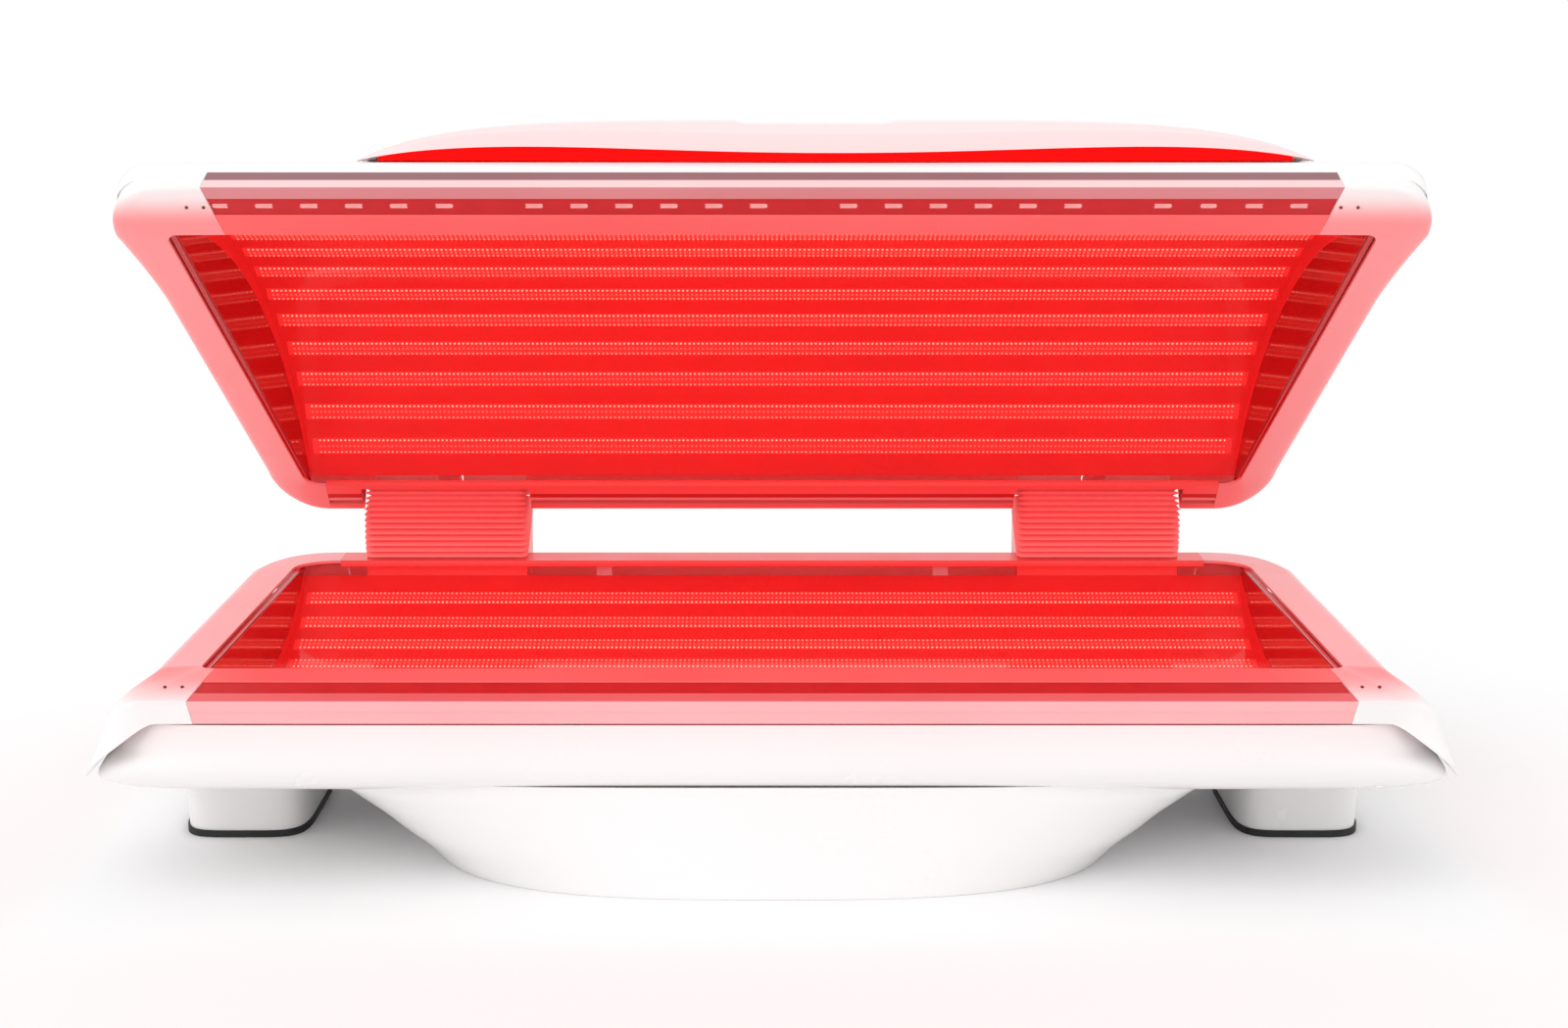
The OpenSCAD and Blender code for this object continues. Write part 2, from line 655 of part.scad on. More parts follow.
module equipment_tray() {
    color(steel) difference() {
        translate([-post_x - 40, post_rows[0] - 70, tray_z])
            cube([2 * post_x + 80, post_rows[1] - post_rows[0] + 140, 2]);
        for (x = [-1, 1]) for (y = post_rows)
            translate([x * post_x - 20, y - 20, 0]) cube([40, 40, rail_z]);
    }
}
module power_supplies() {
    color([0.75, 0.76, 0.78]) for (x = [-150, 150]) for (y = post_rows)
        translate([x - 110, y - 60, tray_z + 2]) cube([220, 120, 60]);
}
module control_board() {
    color("green") translate([-120, middle_y - 70, tray_z + 2]) cube([240, 140, 1.6]);
}

// Mains inlet and its rocker switch, in the back of the rear cover
mains_x = 300;
mains_z = bowl_top - 34;
mains_face = bowl_back + seat + 3;
rocker_x = mains_x + 15;
rocker_y = mains_face - 1;
rocker_pin = 1.5;
module mains_window() {
    translate([mains_x - 29, back_y - 60, mains_z - 12]) cube([58, 100, 24]);
}
module mains_inlet() {
    color(dark) {
        difference() {
            union() {
                translate([mains_x - 32, mains_face - 3, mains_z - 15]) cube([64, 3, 30]);
                translate([mains_x - 28, mains_face - 36, mains_z - 11]) cube([56, 34, 22]);
            }
            translate([mains_x - 25, mains_face - 22, mains_z - 8]) cube([27, 30, 16]);
            translate([rocker_x - 9, mains_face - 16, mains_z - 9]) cube([18, 30, 18]);
        }
        for (x = [-18, -12, -6]) translate([mains_x + x - 1, mains_face - 23, mains_z - 3])
            cube([2, 14, 6]);
        translate([rocker_x - 10, rocker_y, mains_z]) rotate([0, 90, 0])
            cylinder(h = 20, r = rocker_pin, $fn = 32);
    }
}
module mains_rocker() {
    color("black") translate([rocker_x, rocker_y, mains_z]) difference() {
        along_x(-8, 8) polygon([[-6, -3], [-4, -7.4], [2.2, -7.8], [1.9, 0], [1.2, 7.8], [-4, 7.4],
            [-6, 3]]);
        translate([-10, 0, 0]) rotate([0, 90, 0]) cylinder(h = 20, r = rocker_pin + running, $fn = 32);
    }
}

// Fans: a square frame with a round bore, and a rotor on its hub
fan_thick = 25;
fan_x = 560;
fan_y = front_y + 620;
fan_bore = fan_size / 2 - 4;
fan_hub = 18;
module fan_frame() {
    difference() {
        translate([-fan_size / 2, -fan_size / 2, 0]) cube([fan_size, fan_size, fan_thick]);
        translate([0, 0, -1]) cylinder(h = fan_thick + 2, r = fan_bore, $fn = 64);
        for (x = [-1, 1]) for (y = [-1, 1])
            translate([x * (fan_size / 2 - 5), y * (fan_size / 2 - 5), -1])
                cylinder(h = fan_thick + 2, r = 2.2, $fn = 24);
    }
    for (a = [45, 135]) rotate([0, 0, a]) translate([-fan_bore - 1, -3, 0]) cube([2 * fan_bore + 2, 6, 2]);
    cylinder(h = 2, r = fan_hub, $fn = 48);
    cylinder(h = 18, r = 3, $fn = 24);
}
module fan_rotor() {
    difference() {
        union() {
            translate([0, 0, 3]) cylinder(h = 20, r = fan_hub, $fn = 48);
            for (i = [0:6]) rotate([0, 0, i * 360 / 7]) translate([0, 0, 13]) rotate([38, 0, 0])
                translate([fan_hub - 3, -12, -1]) cube([fan_bore - fan_hub - 1, 24, 2]);
        }
        translate([0, 0, 2]) cylinder(h = 17, r = 3 + running, $fn = 24);
    }
}
// The base fans stand on the belly pan and draw air up out of the pedestal
module base_fan_place(side) {
    translate([side * fan_x, fan_y, rail_z]) children();
}
module base_fan_frames() {
    color(dark) for (s = [-1, 1]) base_fan_place(s) fan_frame();
}
module base_fan_rotor_left() {
    color([0.2, 0.2, 0.21]) base_fan_place(-1) fan_rotor();
}
module base_fan_rotor_right() {
    color([0.2, 0.2, 0.21]) base_fan_place(1) fan_rotor();
}
module base_vents() {
    for (s = [-1, 1]) for (i = [0:11])
        translate([s * fan_x - 110 + i * 20 - 4, back_y - 60, bowl_top - 62]) cube([8, 100, 40]);
}

// Hinges: a steel post with two cheeks on the rear rail, a pin, and an arm of the canopy between the cheeks
post_width = 80;
post_depth = 44;
cheek = 12;
module hinge_post() {
    x0 = hinge_offset;
    z0 = rail_z + rail_height;
    y0 = hinge_y - post_depth / 2;
    difference() {
        union() {
            for (s = [-1, 1]) translate([x0 + s * (post_width - cheek) / 2 - cheek / 2, 0, 0])
                rotate([90, 0, 90]) linear_extrude(cheek) union() {
                    translate([y0, z0]) square([post_depth, hinge_z - z0]);
                    translate([hinge_y, hinge_z]) circle(r = post_depth / 2, $fn = 64);
                }
            translate([x0 - post_width / 2, y0, z0]) cube([post_width, post_depth, 8]);
            translate([x0 - post_width / 2, y0 + post_depth - 6, z0])
                cube([post_width, 6, hinge_z - z0 - 60]);
            along_x(spring_x - 20, spring_x - 12) polygon([[y0 + 2, z0], [stud_y - 12, z0 + 1],
                [stud_y - 10, spring_foot_z + 10], [stud_y + 10, spring_foot_z + 12], [y0 + 2, z0 + 60]]);
            translate([spring_x - 14, stud_y, spring_foot_z]) rotate([0, 90, 0])
                cylinder(h = 24, r = stud_radius, $fn = 32);
        }
        translate([x0 - post_width, hinge_y, hinge_z]) rotate([0, 90, 0])
            cylinder(h = 2 * post_width, r = hinge_pin_radius, $fn = 48);
    }
}
module hinge_post_left() {
    color(steel) mirror([1, 0, 0]) hinge_post();
}
module hinge_post_right() {
    color(steel) hinge_post();
}
module hinge_pins() {
    color("gray") mirrored_pair() translate([hinge_offset - post_width / 2 - 4, hinge_y, hinge_z])
        rotate([0, 90, 0])
        union() {
            cylinder(h = post_width + 8, r = hinge_pin_radius, $fn = 48);
            cylinder(h = 4, r = hinge_pin_radius + 4, $fn = 48);
        }
}

// Bellows: pleats that fan out about the hinge line, between a frame in the deck and a lid in the canopy.
// The top of the frame and the underside of the lid lie in planes through the hinge line.
frame_wall = 6;
hole_margin = 22;
deck_flat = rim_height - 0.82 * deck_depth;
bellows_back = bellows_front + bellows_depth;
lid_z = shut_z + 12;
lid_wall = 4;
bellows_low = atan2(hinge_z - bellows_floor, hinge_y - bellows_front);
lid_angle = atan2(hinge_z - lid_z, hinge_y - bellows_front);
plane_gap = seat * 1.1;
function floor_line(y) = hinge_z - (hinge_y - y) * tan(bellows_low) - plane_gap;
function lid_line(y) = hinge_z - (hinge_y - y) * tan(lid_angle) + plane_gap;
// A block over the bellows' plan, drawn in by a margin, between two heights at its front and at its back
module bellows_block(margin, low_front, low_back, top_front, top_back) {
    along_x(bellows_offset - bellows_length / 2 + margin, bellows_offset + bellows_length / 2 - margin)
        polygon([[bellows_front + max(0, margin), low_front], [bellows_back - max(0, margin), low_back],
            [bellows_back - max(0, margin), top_back], [bellows_front + max(0, margin), top_front]]);
}
module bellows_base_frames() {
    foot = deck_flat - 20;
    top0 = floor_line(bellows_front);
    top1 = floor_line(bellows_back);
    color(dark) mirrored_pair() difference() {
        bellows_block(-frame_grow, foot, foot, top0, top1);
        bellows_block(frame_wall - frame_grow, foot - 1, foot - 1, top0 - 8, top1 - 8);
        bellows_block(hole_margin, foot, foot, rim_height + 200, rim_height + 200);
    }
}
// A ring of the bellows: a rectangle in the plane through the hinge line at one angle
bellows_high = open_angle - lid_angle;
reach_low = (hinge_y - bellows_front) / cos(bellows_low);
reach_high = (hinge_y - bellows_front) / cos(lid_angle) - pleat_depth / 2 - 1;
reach_rear = (hinge_y - bellows_back) / cos(bellows_low) + 4;
function bellows_ring(angle, inset) =
    let (x0 = bellows_offset - bellows_length / 2 + inset, x1 = bellows_offset + bellows_length / 2 - inset,
        t = (angle + bellows_low) / (bellows_high + bellows_low),
        r0 = mix(reach_low, reach_high, t) - inset, r1 = reach_rear + inset, c = cos(angle), s = sin(angle),
        soft = 10)
    [for (q = [[x0, r0 - soft], [x0 + soft, r0], [x1 - soft, r0], [x1, r0 - soft], [x1, r1 + soft],
            [x1 - soft, r1], [x0 + soft, r1], [x0, r1 + soft]])
        [q[0], hinge_y - q[1] * c, hinge_z + q[1] * s]];
module bellows() {
    steps = 2 * pleats;
    wall = 3;
    grid = [for (i = [steps:-1:0]) let (a = mix(-bellows_low, bellows_high, i / steps),
        deep = i % 2 == 0 ? pleat_depth / 2 : -pleat_depth / 2)
        [bellows_ring(a, deep), bellows_ring(a, deep + wall)]];
    walled([for (g = grid) g[0]], [for (g = grid) g[1]], true);
}
module bellows_right() {
    color([1, 0.5, 0.5]) bellows();
}
module bellows_left() {
    color([1, 0.5, 0.5]) mirror([1, 0, 0]) bellows();
}

// Gas springs beside the arms: the cylinder turns on a lower stud, the rod slides in it up to a stud on
// the arm
stud_angle = open_angle / 2;
stud_y = hinge_y - stud_arm * cos(stud_angle);
stud_open_z = hinge_z + stud_arm * sin(stud_angle);
stud_radius = 4;
spring_x = hinge_offset + 50;
spring_foot_z = rail_z + 36;
cylinder_length = 180;
rod_eye = 15;
// Sideways travel of the stud between its two ends, and the part of it that the coupled swing leaves open
stud_bow = stud_arm * (1 - cos(stud_angle));
module gas_cylinder() {
    translate([spring_x, stud_y, spring_foot_z]) difference() {
        union() {
            rotate([0, 90, 0]) cylinder(h = 14, r = 10, center = true, $fn = 48);
            cylinder(h = 26, r = 6, $fn = 32);
            translate([0, 0, 20]) cylinder(h = cylinder_length, r = cylinder_radius, $fn = 48);
        }
        rotate([0, 90, 0]) cylinder(h = 20, r = stud_radius + running, center = true, $fn = 32);
        translate([0, 0, 30]) cylinder(h = cylinder_length, r = rod_radius + running, $fn = 32);
    }
}
rod_top = stud_open_z - spring_foot_z;
rod_low = 20 + cylinder_length - 18;
module gas_rod() {
    translate([spring_x, stud_y, spring_foot_z]) difference() {
        union() {
            translate([0, 0, rod_low]) cylinder(h = rod_top - rod_low - 8, r = rod_radius, $fn = 32);
            translate([0, 0, rod_top]) rotate([0, 90, 0])
                cylinder(h = 12, r = rod_eye, center = true, $fn = 48);
        }
        translate([0, 0, rod_top]) rotate([0, 90, 0])
            cylinder(h = 20, r = stud_radius + stud_bow + 0.8, center = true, $fn = 48);
    }
}
module gas_cylinder_right() {
    color(dark) gas_cylinder();
}
module gas_cylinder_left() {
    color(dark) mirror([1, 0, 0]) gas_cylinder();
}
module gas_rod_right() {
    color("silver") gas_rod();
}
module gas_rod_left() {
    color("silver") mirror([1, 0, 0]) gas_rod();
}

// Screws in the faces beside the front seams, two at each corner of the bed and of the canopy
screw_radius = 4;
screw_back = 54;
screw_in = 41;
screw_gap = 28;
module screw_pair(seam, z, side) {
    slope = atan(nose_drop / nose_reach);
    for (i = [0, 1]) translate([seam + screw_in + i * screw_gap, front_y - screw_back,
        z + side * (screw_back * nose_drop / nose_reach)])
        rotate([-side * slope, 0, 0]) translate([0, 0, side > 0 ? -0.8 : -1.2])
            cylinder(h = 2, r = screw_radius, $fn = 24);
}
module cap_screws() {
    color("gray") mirrored_pair() screw_pair(front_seam, rim_height, -1);
}
module canopy_screws() {
    color("gray") canopy_pose() mirrored_pair() screw_pair(canopy_seam, shut_z, 1);
}

// Canopy: outer shell
shell_front = front_y - nose_reach + chin_back + 9;
shell_rear = rear_y + rear_rim_width + 12;
shell_chord = shell_rear - shell_front;
shell_radius = (shell_chord * shell_chord / 4 + shell_rise * shell_rise) / (2 * shell_rise);
shell_top = shut_z + shell_edge_height;
shell_steps = 16;
shell_half = canopy_length / 2;
shell_middle = (shell_front + shell_rear) / 2;
function flare(t) = corner_flare * pow(max(0, 1 - max(0, t) / 0.25), 1.5);
function shell_z(y) =
    shell_top + sqrt(shell_radius * shell_radius - (y - shell_middle) * (y - shell_middle))
        - shell_radius + shell_rise;
shell_rear_half = canopy_rear_length / 2;
shell_crown = 0.06;
end_round = 46;
// One cross section of the shell, at a share of its half length. The crown falls a little towards the ends,
// the ends round off and draw in towards the rear, and the rear corners are cut back.
canopy_side_depth = 36;
shell_low = shut_z + canopy_side_depth + seat;
function shell_ring(share, wall) =
    let (f = abs(share), e = max(0, f * shell_half - (shell_half - end_round)) / end_round,
        round_off = 1 - sqrt(max(0, 1 - e * e)), k = 1 - 0.55 * round_off,
        back = shell_rear - wall - 150 * pow(max(0, (f - 0.87) / 0.13), 2) * (1 - wall / 300),
        front = shell_front + wall + 24 * round_off, base = wall > 0 ? -2 : 0,
        points = concat([[front, shell_top - 10 - wall - shell_low], [front, 34 + wall / 2],
            [front + 50, wall],
                [front + 60, base], [back, base]],
            [for (i = [0:shell_steps]) let (y = mix(back, front + 8, i / shell_steps))
                [y, mix(shell_z(y), shell_top, shell_crown * f * f) - wall - shell_low]],
            [[front + 3, shell_top - 2 - wall - shell_low]]))
    [for (p = points) let (t = (p[0] - shell_front) / shell_chord)
        [share * (mix(shell_half, shell_rear_half, t) + flare(t) - wall), p[0], shell_low + p[1]
            * (p[1] > 0 ? k : 1)]];
shell_places = [1, 0.996, 0.985, 0.97, 0.957, 0.94, 0.9, 0.85, 0.5];
module shell_body(wall) {
    xs = concat([for (p = shell_places) -p], [0], [for (i = [len(shell_places) - 1:-1:0]) shell_places[i]]);
    lofted([for (x = xs) shell_ring(x, wall)]);
}
module top_shell() {
    color("white") canopy_pose() difference() {
        shell_body(0);
        shell_body(cover_wall);
        translate([-shell_half, shell_front, shut_z - 10]) cube([2 * shell_half, shell_chord, 40]);
        translate([-canopy_tub[0] - 2, shell_front + 44, shut_z]) cube([2 * canopy_tub[0] + 4, 32, 42]);
        mirrored_pair() {
            translate([housing_x[0] - pleat_depth / 2 - 2, shell_rear - 12, shut_z])
                cube([housing_x[1] - housing_x[0] + pleat_depth + 4, 24, 48]);
            translate([housing_x[0] + 6, shell_rear - 12, shut_z + 20])
                cube([housing_x[1] - housing_x[0] - 12, 24, 76]);
        }
        for (s = [-1, 1]) canopy_fan_place(s) cylinder(h = 80, r = fan_bore, $fn = 64);
    }
}

canopy_side = [[0, 0], [0.3, 0.05], [0.6, 0.1], [0.84, 0.17], [0.97, 0.34], [1, 0.6], [0.99, 1]];
canopy_rear = [[0, 0], [0.5, -0.1], [0.93, -0.19], [0.98, -0.1], [1, 0.2], [0.99, 0.5], [0.98, 0.75]];
canopy_side_reach = canopy_rail_width + 10;
canopy_rear_reach = rear_rim_width + 4;
canopy_rear_depth = 46;
function rail_row(base, direction, reach, depth, section, wall) =
    let (used = row_line(reach, depth, section, wall, 1))
    [for (q = used) [base[0] + direction[0] * q[0], base[1] + direction[1] * q[0], shut_z + q[1]]];
function canopy_rail_grid(wall) =
    let (xf = canopy_opening_front / 2, xr = canopy_opening_rear / 2, side = canopy_side_reach,
        cf = [xf - front_corner, front_y + front_corner],
        cr = [xr - canopy_corner_radius, rear_y - canopy_corner_radius])
    concat(
        [let (d = unit([seam_slant, -nose_reach]))
            rail_row([canopy_seam + seat, front_y], d, norm([seam_slant, nose_reach]), chin_depth,
                front_section, wall)],
        [for (i = [1:corner_steps]) let (a = seam_angle * (1 - i / corner_steps), t = smooth((a + 80) / 70),
                reach = corner_reach(side + corner_flare + front_corner, nose_reach + front_corner, a, 2.6)
                    - front_corner)
            rail_row(cf + front_corner * [cos(a), sin(a)], [cos(a), sin(a)], reach,
                mix(chin_depth, canopy_side_depth, smooth((a + 80) / 80)),
                blend_section(front_section, canopy_side, t), wall)],
        [for (t = [0.05, 0.12, 0.22, 0.45, 0.7, 0.9])
            rail_row([mix(xf, xr, t), mix(cf[1], cr[1], t)], [1, 0], side + flare(t), canopy_side_depth,
                canopy_side, wall)],
        [for (i = [0:corner_steps]) let (a = 90 * i / corner_steps, t = smooth(a / 90),
                reach = corner_reach(side + canopy_corner_radius,
                    canopy_rear_reach + canopy_corner_radius, a, 2.2)
                    - canopy_corner_radius)
            rail_row(cr + canopy_corner_radius * [cos(a), sin(a)], [cos(a), sin(a)], reach,
                mix(canopy_side_depth, canopy_rear_depth, t), blend_section(canopy_side, canopy_rear, t),
                    wall)]);
module canopy_end_rail() {
    canopy_pose() walled(canopy_rail_grid(0), canopy_rail_grid(profile_wall));
}
module canopy_end_rail_right() {
    color("mistyrose") canopy_end_rail();
}
module canopy_end_rail_left() {
    color("mistyrose") mirror([1, 0, 0]) canopy_end_rail();
}
module canopy_front_profile() {
    color(coral) canopy_pose() intersection() {
        along_x(-half_length, half_length) translate([front_y, shut_z]) nose_outline(1);
        seam_plan(canopy_seam, 0, shut_z - 20);
    }
}
module canopy_front_mesh() {
    color("crimson") canopy_pose() intersection() {
        along_x(-half_length, half_length) translate([front_y, shut_z]) mesh_outline(1);
        seam_plan(canopy_seam, 2, shut_z - 20);
    }
}
canopy_rear_seam = canopy_opening_rear / 2 - canopy_corner_radius;
module canopy_rear_profile() {
    color(coral) canopy_pose() difference() {
        along_x(-canopy_rear_seam + seat, canopy_rear_seam - seat)
            translate([rear_y, shut_z]) polygon([[0, lip_depth], [0, 0], [28, -3], [28, -1], [44, -3],
                [44, -5],
                [50, -5.5], [50, 3], [64, 2], [64, -7], [rear_rim_width - 2, -9], [rear_rim_width + 3, -4],
                [rear_rim_width + 4, 10], [rear_rim_width + 3, 46], [rear_rim_width - 1, 46],
                [rear_rim_width - 1, 7], [4, 7], [4, lip_depth]]);
        mirrored_pair() translate([0, -slot_gap, 0])
            bellows_block(-slot_gap - pleat_depth / 2, shut_z - 20, shut_z - 20,
                lid_line(bellows_front) + 2 * lid_wall, lid_line(bellows_back) + 2 * lid_wall);
    }
}

canopy_edge_z = shut_z + 6;
canopy_tub = [canopy_opening_front / 2 - 6, canopy_opening_rear / 2 - 6];
module canopy_acrylic() {
    color([1, 0.6, 0.6, 0.5]) canopy_pose() translate([0, 0, canopy_edge_z])
        tub_acrylic(canopy_sag, canopy_tub[0], canopy_tub[1], 1);
}
module canopy_tray() {
    color(steel) canopy_pose() translate([0, 0, canopy_edge_z])
        lamp_tray(canopy_sag, canopy_tub[0], canopy_tub[1], 1);
}
module canopy_lamp_boards() {
    color("firebrick") canopy_pose() translate([0, 0, canopy_edge_z])
        lamp_boards(canopy_sag, canopy_tub[0], canopy_tub[1], 1);
}

// Ribs between the tray and the shell
rib_places = [-760, -280, 280, 760];
rib_wall = 4;
module canopy_ribs() {
    r = sag_radius(canopy_sag) + lamp_gap + tray_wall + seat;
    color(steel) canopy_pose() for (x = rib_places)
        along_x(x - rib_wall / 2, x + rib_wall / 2) intersection() {
            difference() {
                translate([shell_middle, shell_top + shell_rise - shell_radius
                    - shell_crown * shell_rise * pow(x / shell_half, 2) - 1.5])
                    circle(r = shell_radius - cover_wall - seat, $fn = 180);
                translate([middle_y, canopy_edge_z + canopy_sag - sag_radius(canopy_sag)])
                    circle(r = r, $fn = 180);
            }
            translate([front_y + 40, shut_z + 60]) square([opening_depth - 80, 2 * shell_rise]);
        }
}
// Arms run from the ribs to the hinges, and carry the studs of the gas springs
arm_width = 36;
module canopy_arm() {
    z = hinge_z;
    lug = [hinge_y - stud_arm * cos(stud_angle), hinge_z - stud_arm * sin(stud_angle)];
    difference() {
        union() {
            along_x(hinge_offset - arm_width / 2, hinge_offset + arm_width / 2) union() {
                translate([hinge_y, z]) circle(r = 20, $fn = 64);
                translate(lug) circle(r = 8, $fn = 48);
                polygon([[hinge_y, z + 20], [hinge_y - 14, z - 14],
                    [bellows_back + 1, lid_line(bellows_back) + 6.5],
                    [bellows_back - hole_margin - 2, lid_line(bellows_back - hole_margin) + 6],
                    [lug[0] + 8, lug[1]], [lug[0] - 8, lug[1]], [rear_y + 74, shut_z + 52],
                    [rear_y + 66, shut_z + 54], [rear_y + 66, shut_z + 84], [hinge_y - 60, z + 14]]);
            }
            translate([hinge_offset + arm_width / 2, lug[0], lug[1]]) rotate([0, 90, 0])
                cylinder(h = spring_x - hinge_offset - arm_width / 2 + 8, r = stud_radius, $fn = 32);
        }
        translate([hinge_offset - arm_width, hinge_y, z]) rotate([0, 90, 0])
            cylinder(h = 2 * arm_width, r = hinge_pin_radius + running, $fn = 48);
    }
}
module canopy_arm_right() {
    color(steel) canopy_pose() canopy_arm();
}
module canopy_arm_left() {
    color(steel) canopy_pose() mirror([1, 0, 0]) canopy_arm();
}
// Housings behind the canopy cover the arms, above the lids of the bellows
housing_x = [bellows_offset - bellows_length / 2 - frame_grow,
    bellows_offset + bellows_length / 2 + frame_grow];
module arm_housing() {
    y0 = shell_rear + seat;
    y1 = bellows_back;
    z0 = lid_line(y0);
    z1 = lid_line(y1);
    difference() {
        along_x(housing_x[0], housing_x[1]) polygon([[y0, z0], [y1, z1], [y1 + 6, z1 + 5],
            [y1 + 6, hinge_z + 16],
            [y1 - 16, hinge_z + 30], [y0, hinge_z + 34]]);
        along_x(housing_x[0] + 4, housing_x[1] - 4) polygon([[y0 - 1, z0 - 1], [y1 - 4, z1 - 4],
            [y1 + 2, z1 + 6], [y1 + 2, hinge_z + 14], [y1 - 18, hinge_z + 26], [y0 - 1, hinge_z + 30]]);
        translate([hinge_offset - arm_width / 2 - 2, y1 - 20, shut_z - 20])
            cube([arm_width + 4, 60, hinge_z + 24 - shut_z + 20]);
    }
}
module bellows_lid() {
    z0 = lid_line(bellows_front);
    z1 = lid_line(bellows_back);
    difference() {
        bellows_block(-frame_grow, z0, z1, z0 + lid_wall, z1 + lid_wall);
        bellows_block(hole_margin, shut_z - 20, shut_z - 20, rim_height + 200, rim_height + 200);
    }
}
module arm_housings() {
    color("white") canopy_pose() mirrored_pair() {
        arm_housing();
        bellows_lid();
    }
}

// Hood on the shell. Its places are measured from the shell's front edge: back along a line tilted as the
// visor angle says, and up square to it. The front lip stands clear of the shell and dips in the middle.
visor_angle = 38;
hood_steps = 18;
hood_wall = 5;
lip_low = 35;
lip_high = 56;
lip_dip = 15;
function visor_point(x, back, up) =
    [x, shell_front + back * cos(visor_angle) - up * sin(visor_angle),
        shell_top + back * sin(visor_angle) + up * cos(visor_angle)];
// Height of the shell itself in these measures
function shell_fall(back) = sqrt(max(0, shell_radius * shell_radius - back * back)) - shell_radius;
function hood_swell(t) = pow(max(0, 1 - pow(abs(2 * t - 1), 5)), 0.8);
function hood_dip(t) = pow(cos(min(90, abs(t - 0.5) * 200)), 2);
function lip_back(t) = 34 - 34 * pow(sin(180 * t), 0.7);
hood_shares = [0, 0.01, 0.13, 0.3, 0.52, 0.76, 0.92, 1];
hood_rises = [0, 0, 0.94, 1, 0.78, 0.4, 0.13, 0.02];
hood_places = concat([0, 0.02], [for (i = [1:hood_steps - 1]) i / hood_steps], [0.98, 1]);
function hood_row(t, wall) =
    let (x = mix(-hood_left + wall, hood_right - wall, t), h = hood_swell(t), dip = hood_dip(t) * lip_dip,
        a0 = lip_back(t) + wall, reach = hood_depth * mix(0.6, 1, h) - 2 * wall)
    [for (k = [0:len(hood_shares) - 1]) let (a = mix(a0, reach, hood_shares[k]),
        base = shell_fall(a) + 1,
        up = k == 0 ? base + (lip_low - dip) * h : k == 1 ? base + max(1,
            lip_high * h - dip * 0.7 * h - wall)
            : base + max(1, hood_height * hood_rises[k] * h - wall))
        visor_point(x, a, up)];
module hood() {
    color("white") canopy_pose() walled([for (t = hood_places) hood_row(t, 0)],
        [for (t = hood_places) hood_row(t, hood_wall)]);
}
module hood_light() {
    color("red") canopy_pose() lofted([for (i = [1:len(hood_places) - 2]) let (t = hood_places[i],
        x = mix(-hood_left + hood_wall, hood_right - hood_wall, t), a = lip_back(t) + hood_wall + 1.5,
        h = hood_swell(t), top = shell_fall(a) - 1 + (lip_low - hood_dip(t) * lip_dip)
            * h + max(0, 4 * h - 2))
        [visor_point(x, a, shell_fall(a) + 2), visor_point(x, a + 5, shell_fall(a) + 2),
            visor_point(x, a + 5, top + 2), visor_point(x, a, top + 2)]]);
}

// The canopy fans hang under round holes in the shell, beneath the hood
canopy_fan_x = 130;
canopy_fan_y = shell_front + 250;
module canopy_fan_place(side) {
    translate([side * canopy_fan_x, canopy_fan_y, shell_z(canopy_fan_y)])
        rotate([asin((shell_middle - canopy_fan_y) / shell_radius), 0, 0])
            translate([0, 0, -cover_wall - seat - fan_thick - 3]) children();
}
module canopy_fan_frames() {
    color(dark) canopy_pose() for (s = [-1, 1]) canopy_fan_place(s) fan_frame();
}
module canopy_fan_rotor_left() {
    color([0.2, 0.2, 0.21]) canopy_pose() canopy_fan_place(-1) fan_rotor();
}
module canopy_fan_rotor_right() {
    color([0.2, 0.2, 0.21]) canopy_pose() canopy_fan_place(1) fan_rotor();
}

front_cover();
rear_cover();
rear_deck();
belly_pan();
pedestal_skirt();
leg_cover_left();
leg_cover_right();
foot_pads();
end_cover_left();
end_cover_right();
front_rim_profile();
rear_rim_profile();
front_rim_mesh();
bed_acrylic();
bed_tray();
bed_lamp_boards();
frame_front_rail();
frame_rear_rail();
frame_cross_members();
frame_uprights();
frame_posts();
equipment_tray();
power_supplies();
control_board();
base_fan_frames();
base_fan_rotor_left();
base_fan_rotor_right();
mains_inlet();
mains_rocker();
hinge_post_left();
hinge_post_right();
hinge_pins();
bellows_base_frames();
bellows_left();
bellows_right();
gas_cylinder_left();
gas_cylinder_right();
gas_rod_left();
gas_rod_right();
cap_screws();
top_shell();
canopy_end_rail_left();
canopy_end_rail_right();
canopy_front_profile();
canopy_rear_profile();
canopy_front_mesh();
canopy_acrylic();
canopy_tray();
canopy_lamp_boards();
canopy_ribs();
canopy_arm_left();
canopy_arm_right();
arm_housings();
hood();
hood_light();
canopy_screws();
canopy_fan_frames();
canopy_fan_rotor_left();
canopy_fan_rotor_right();
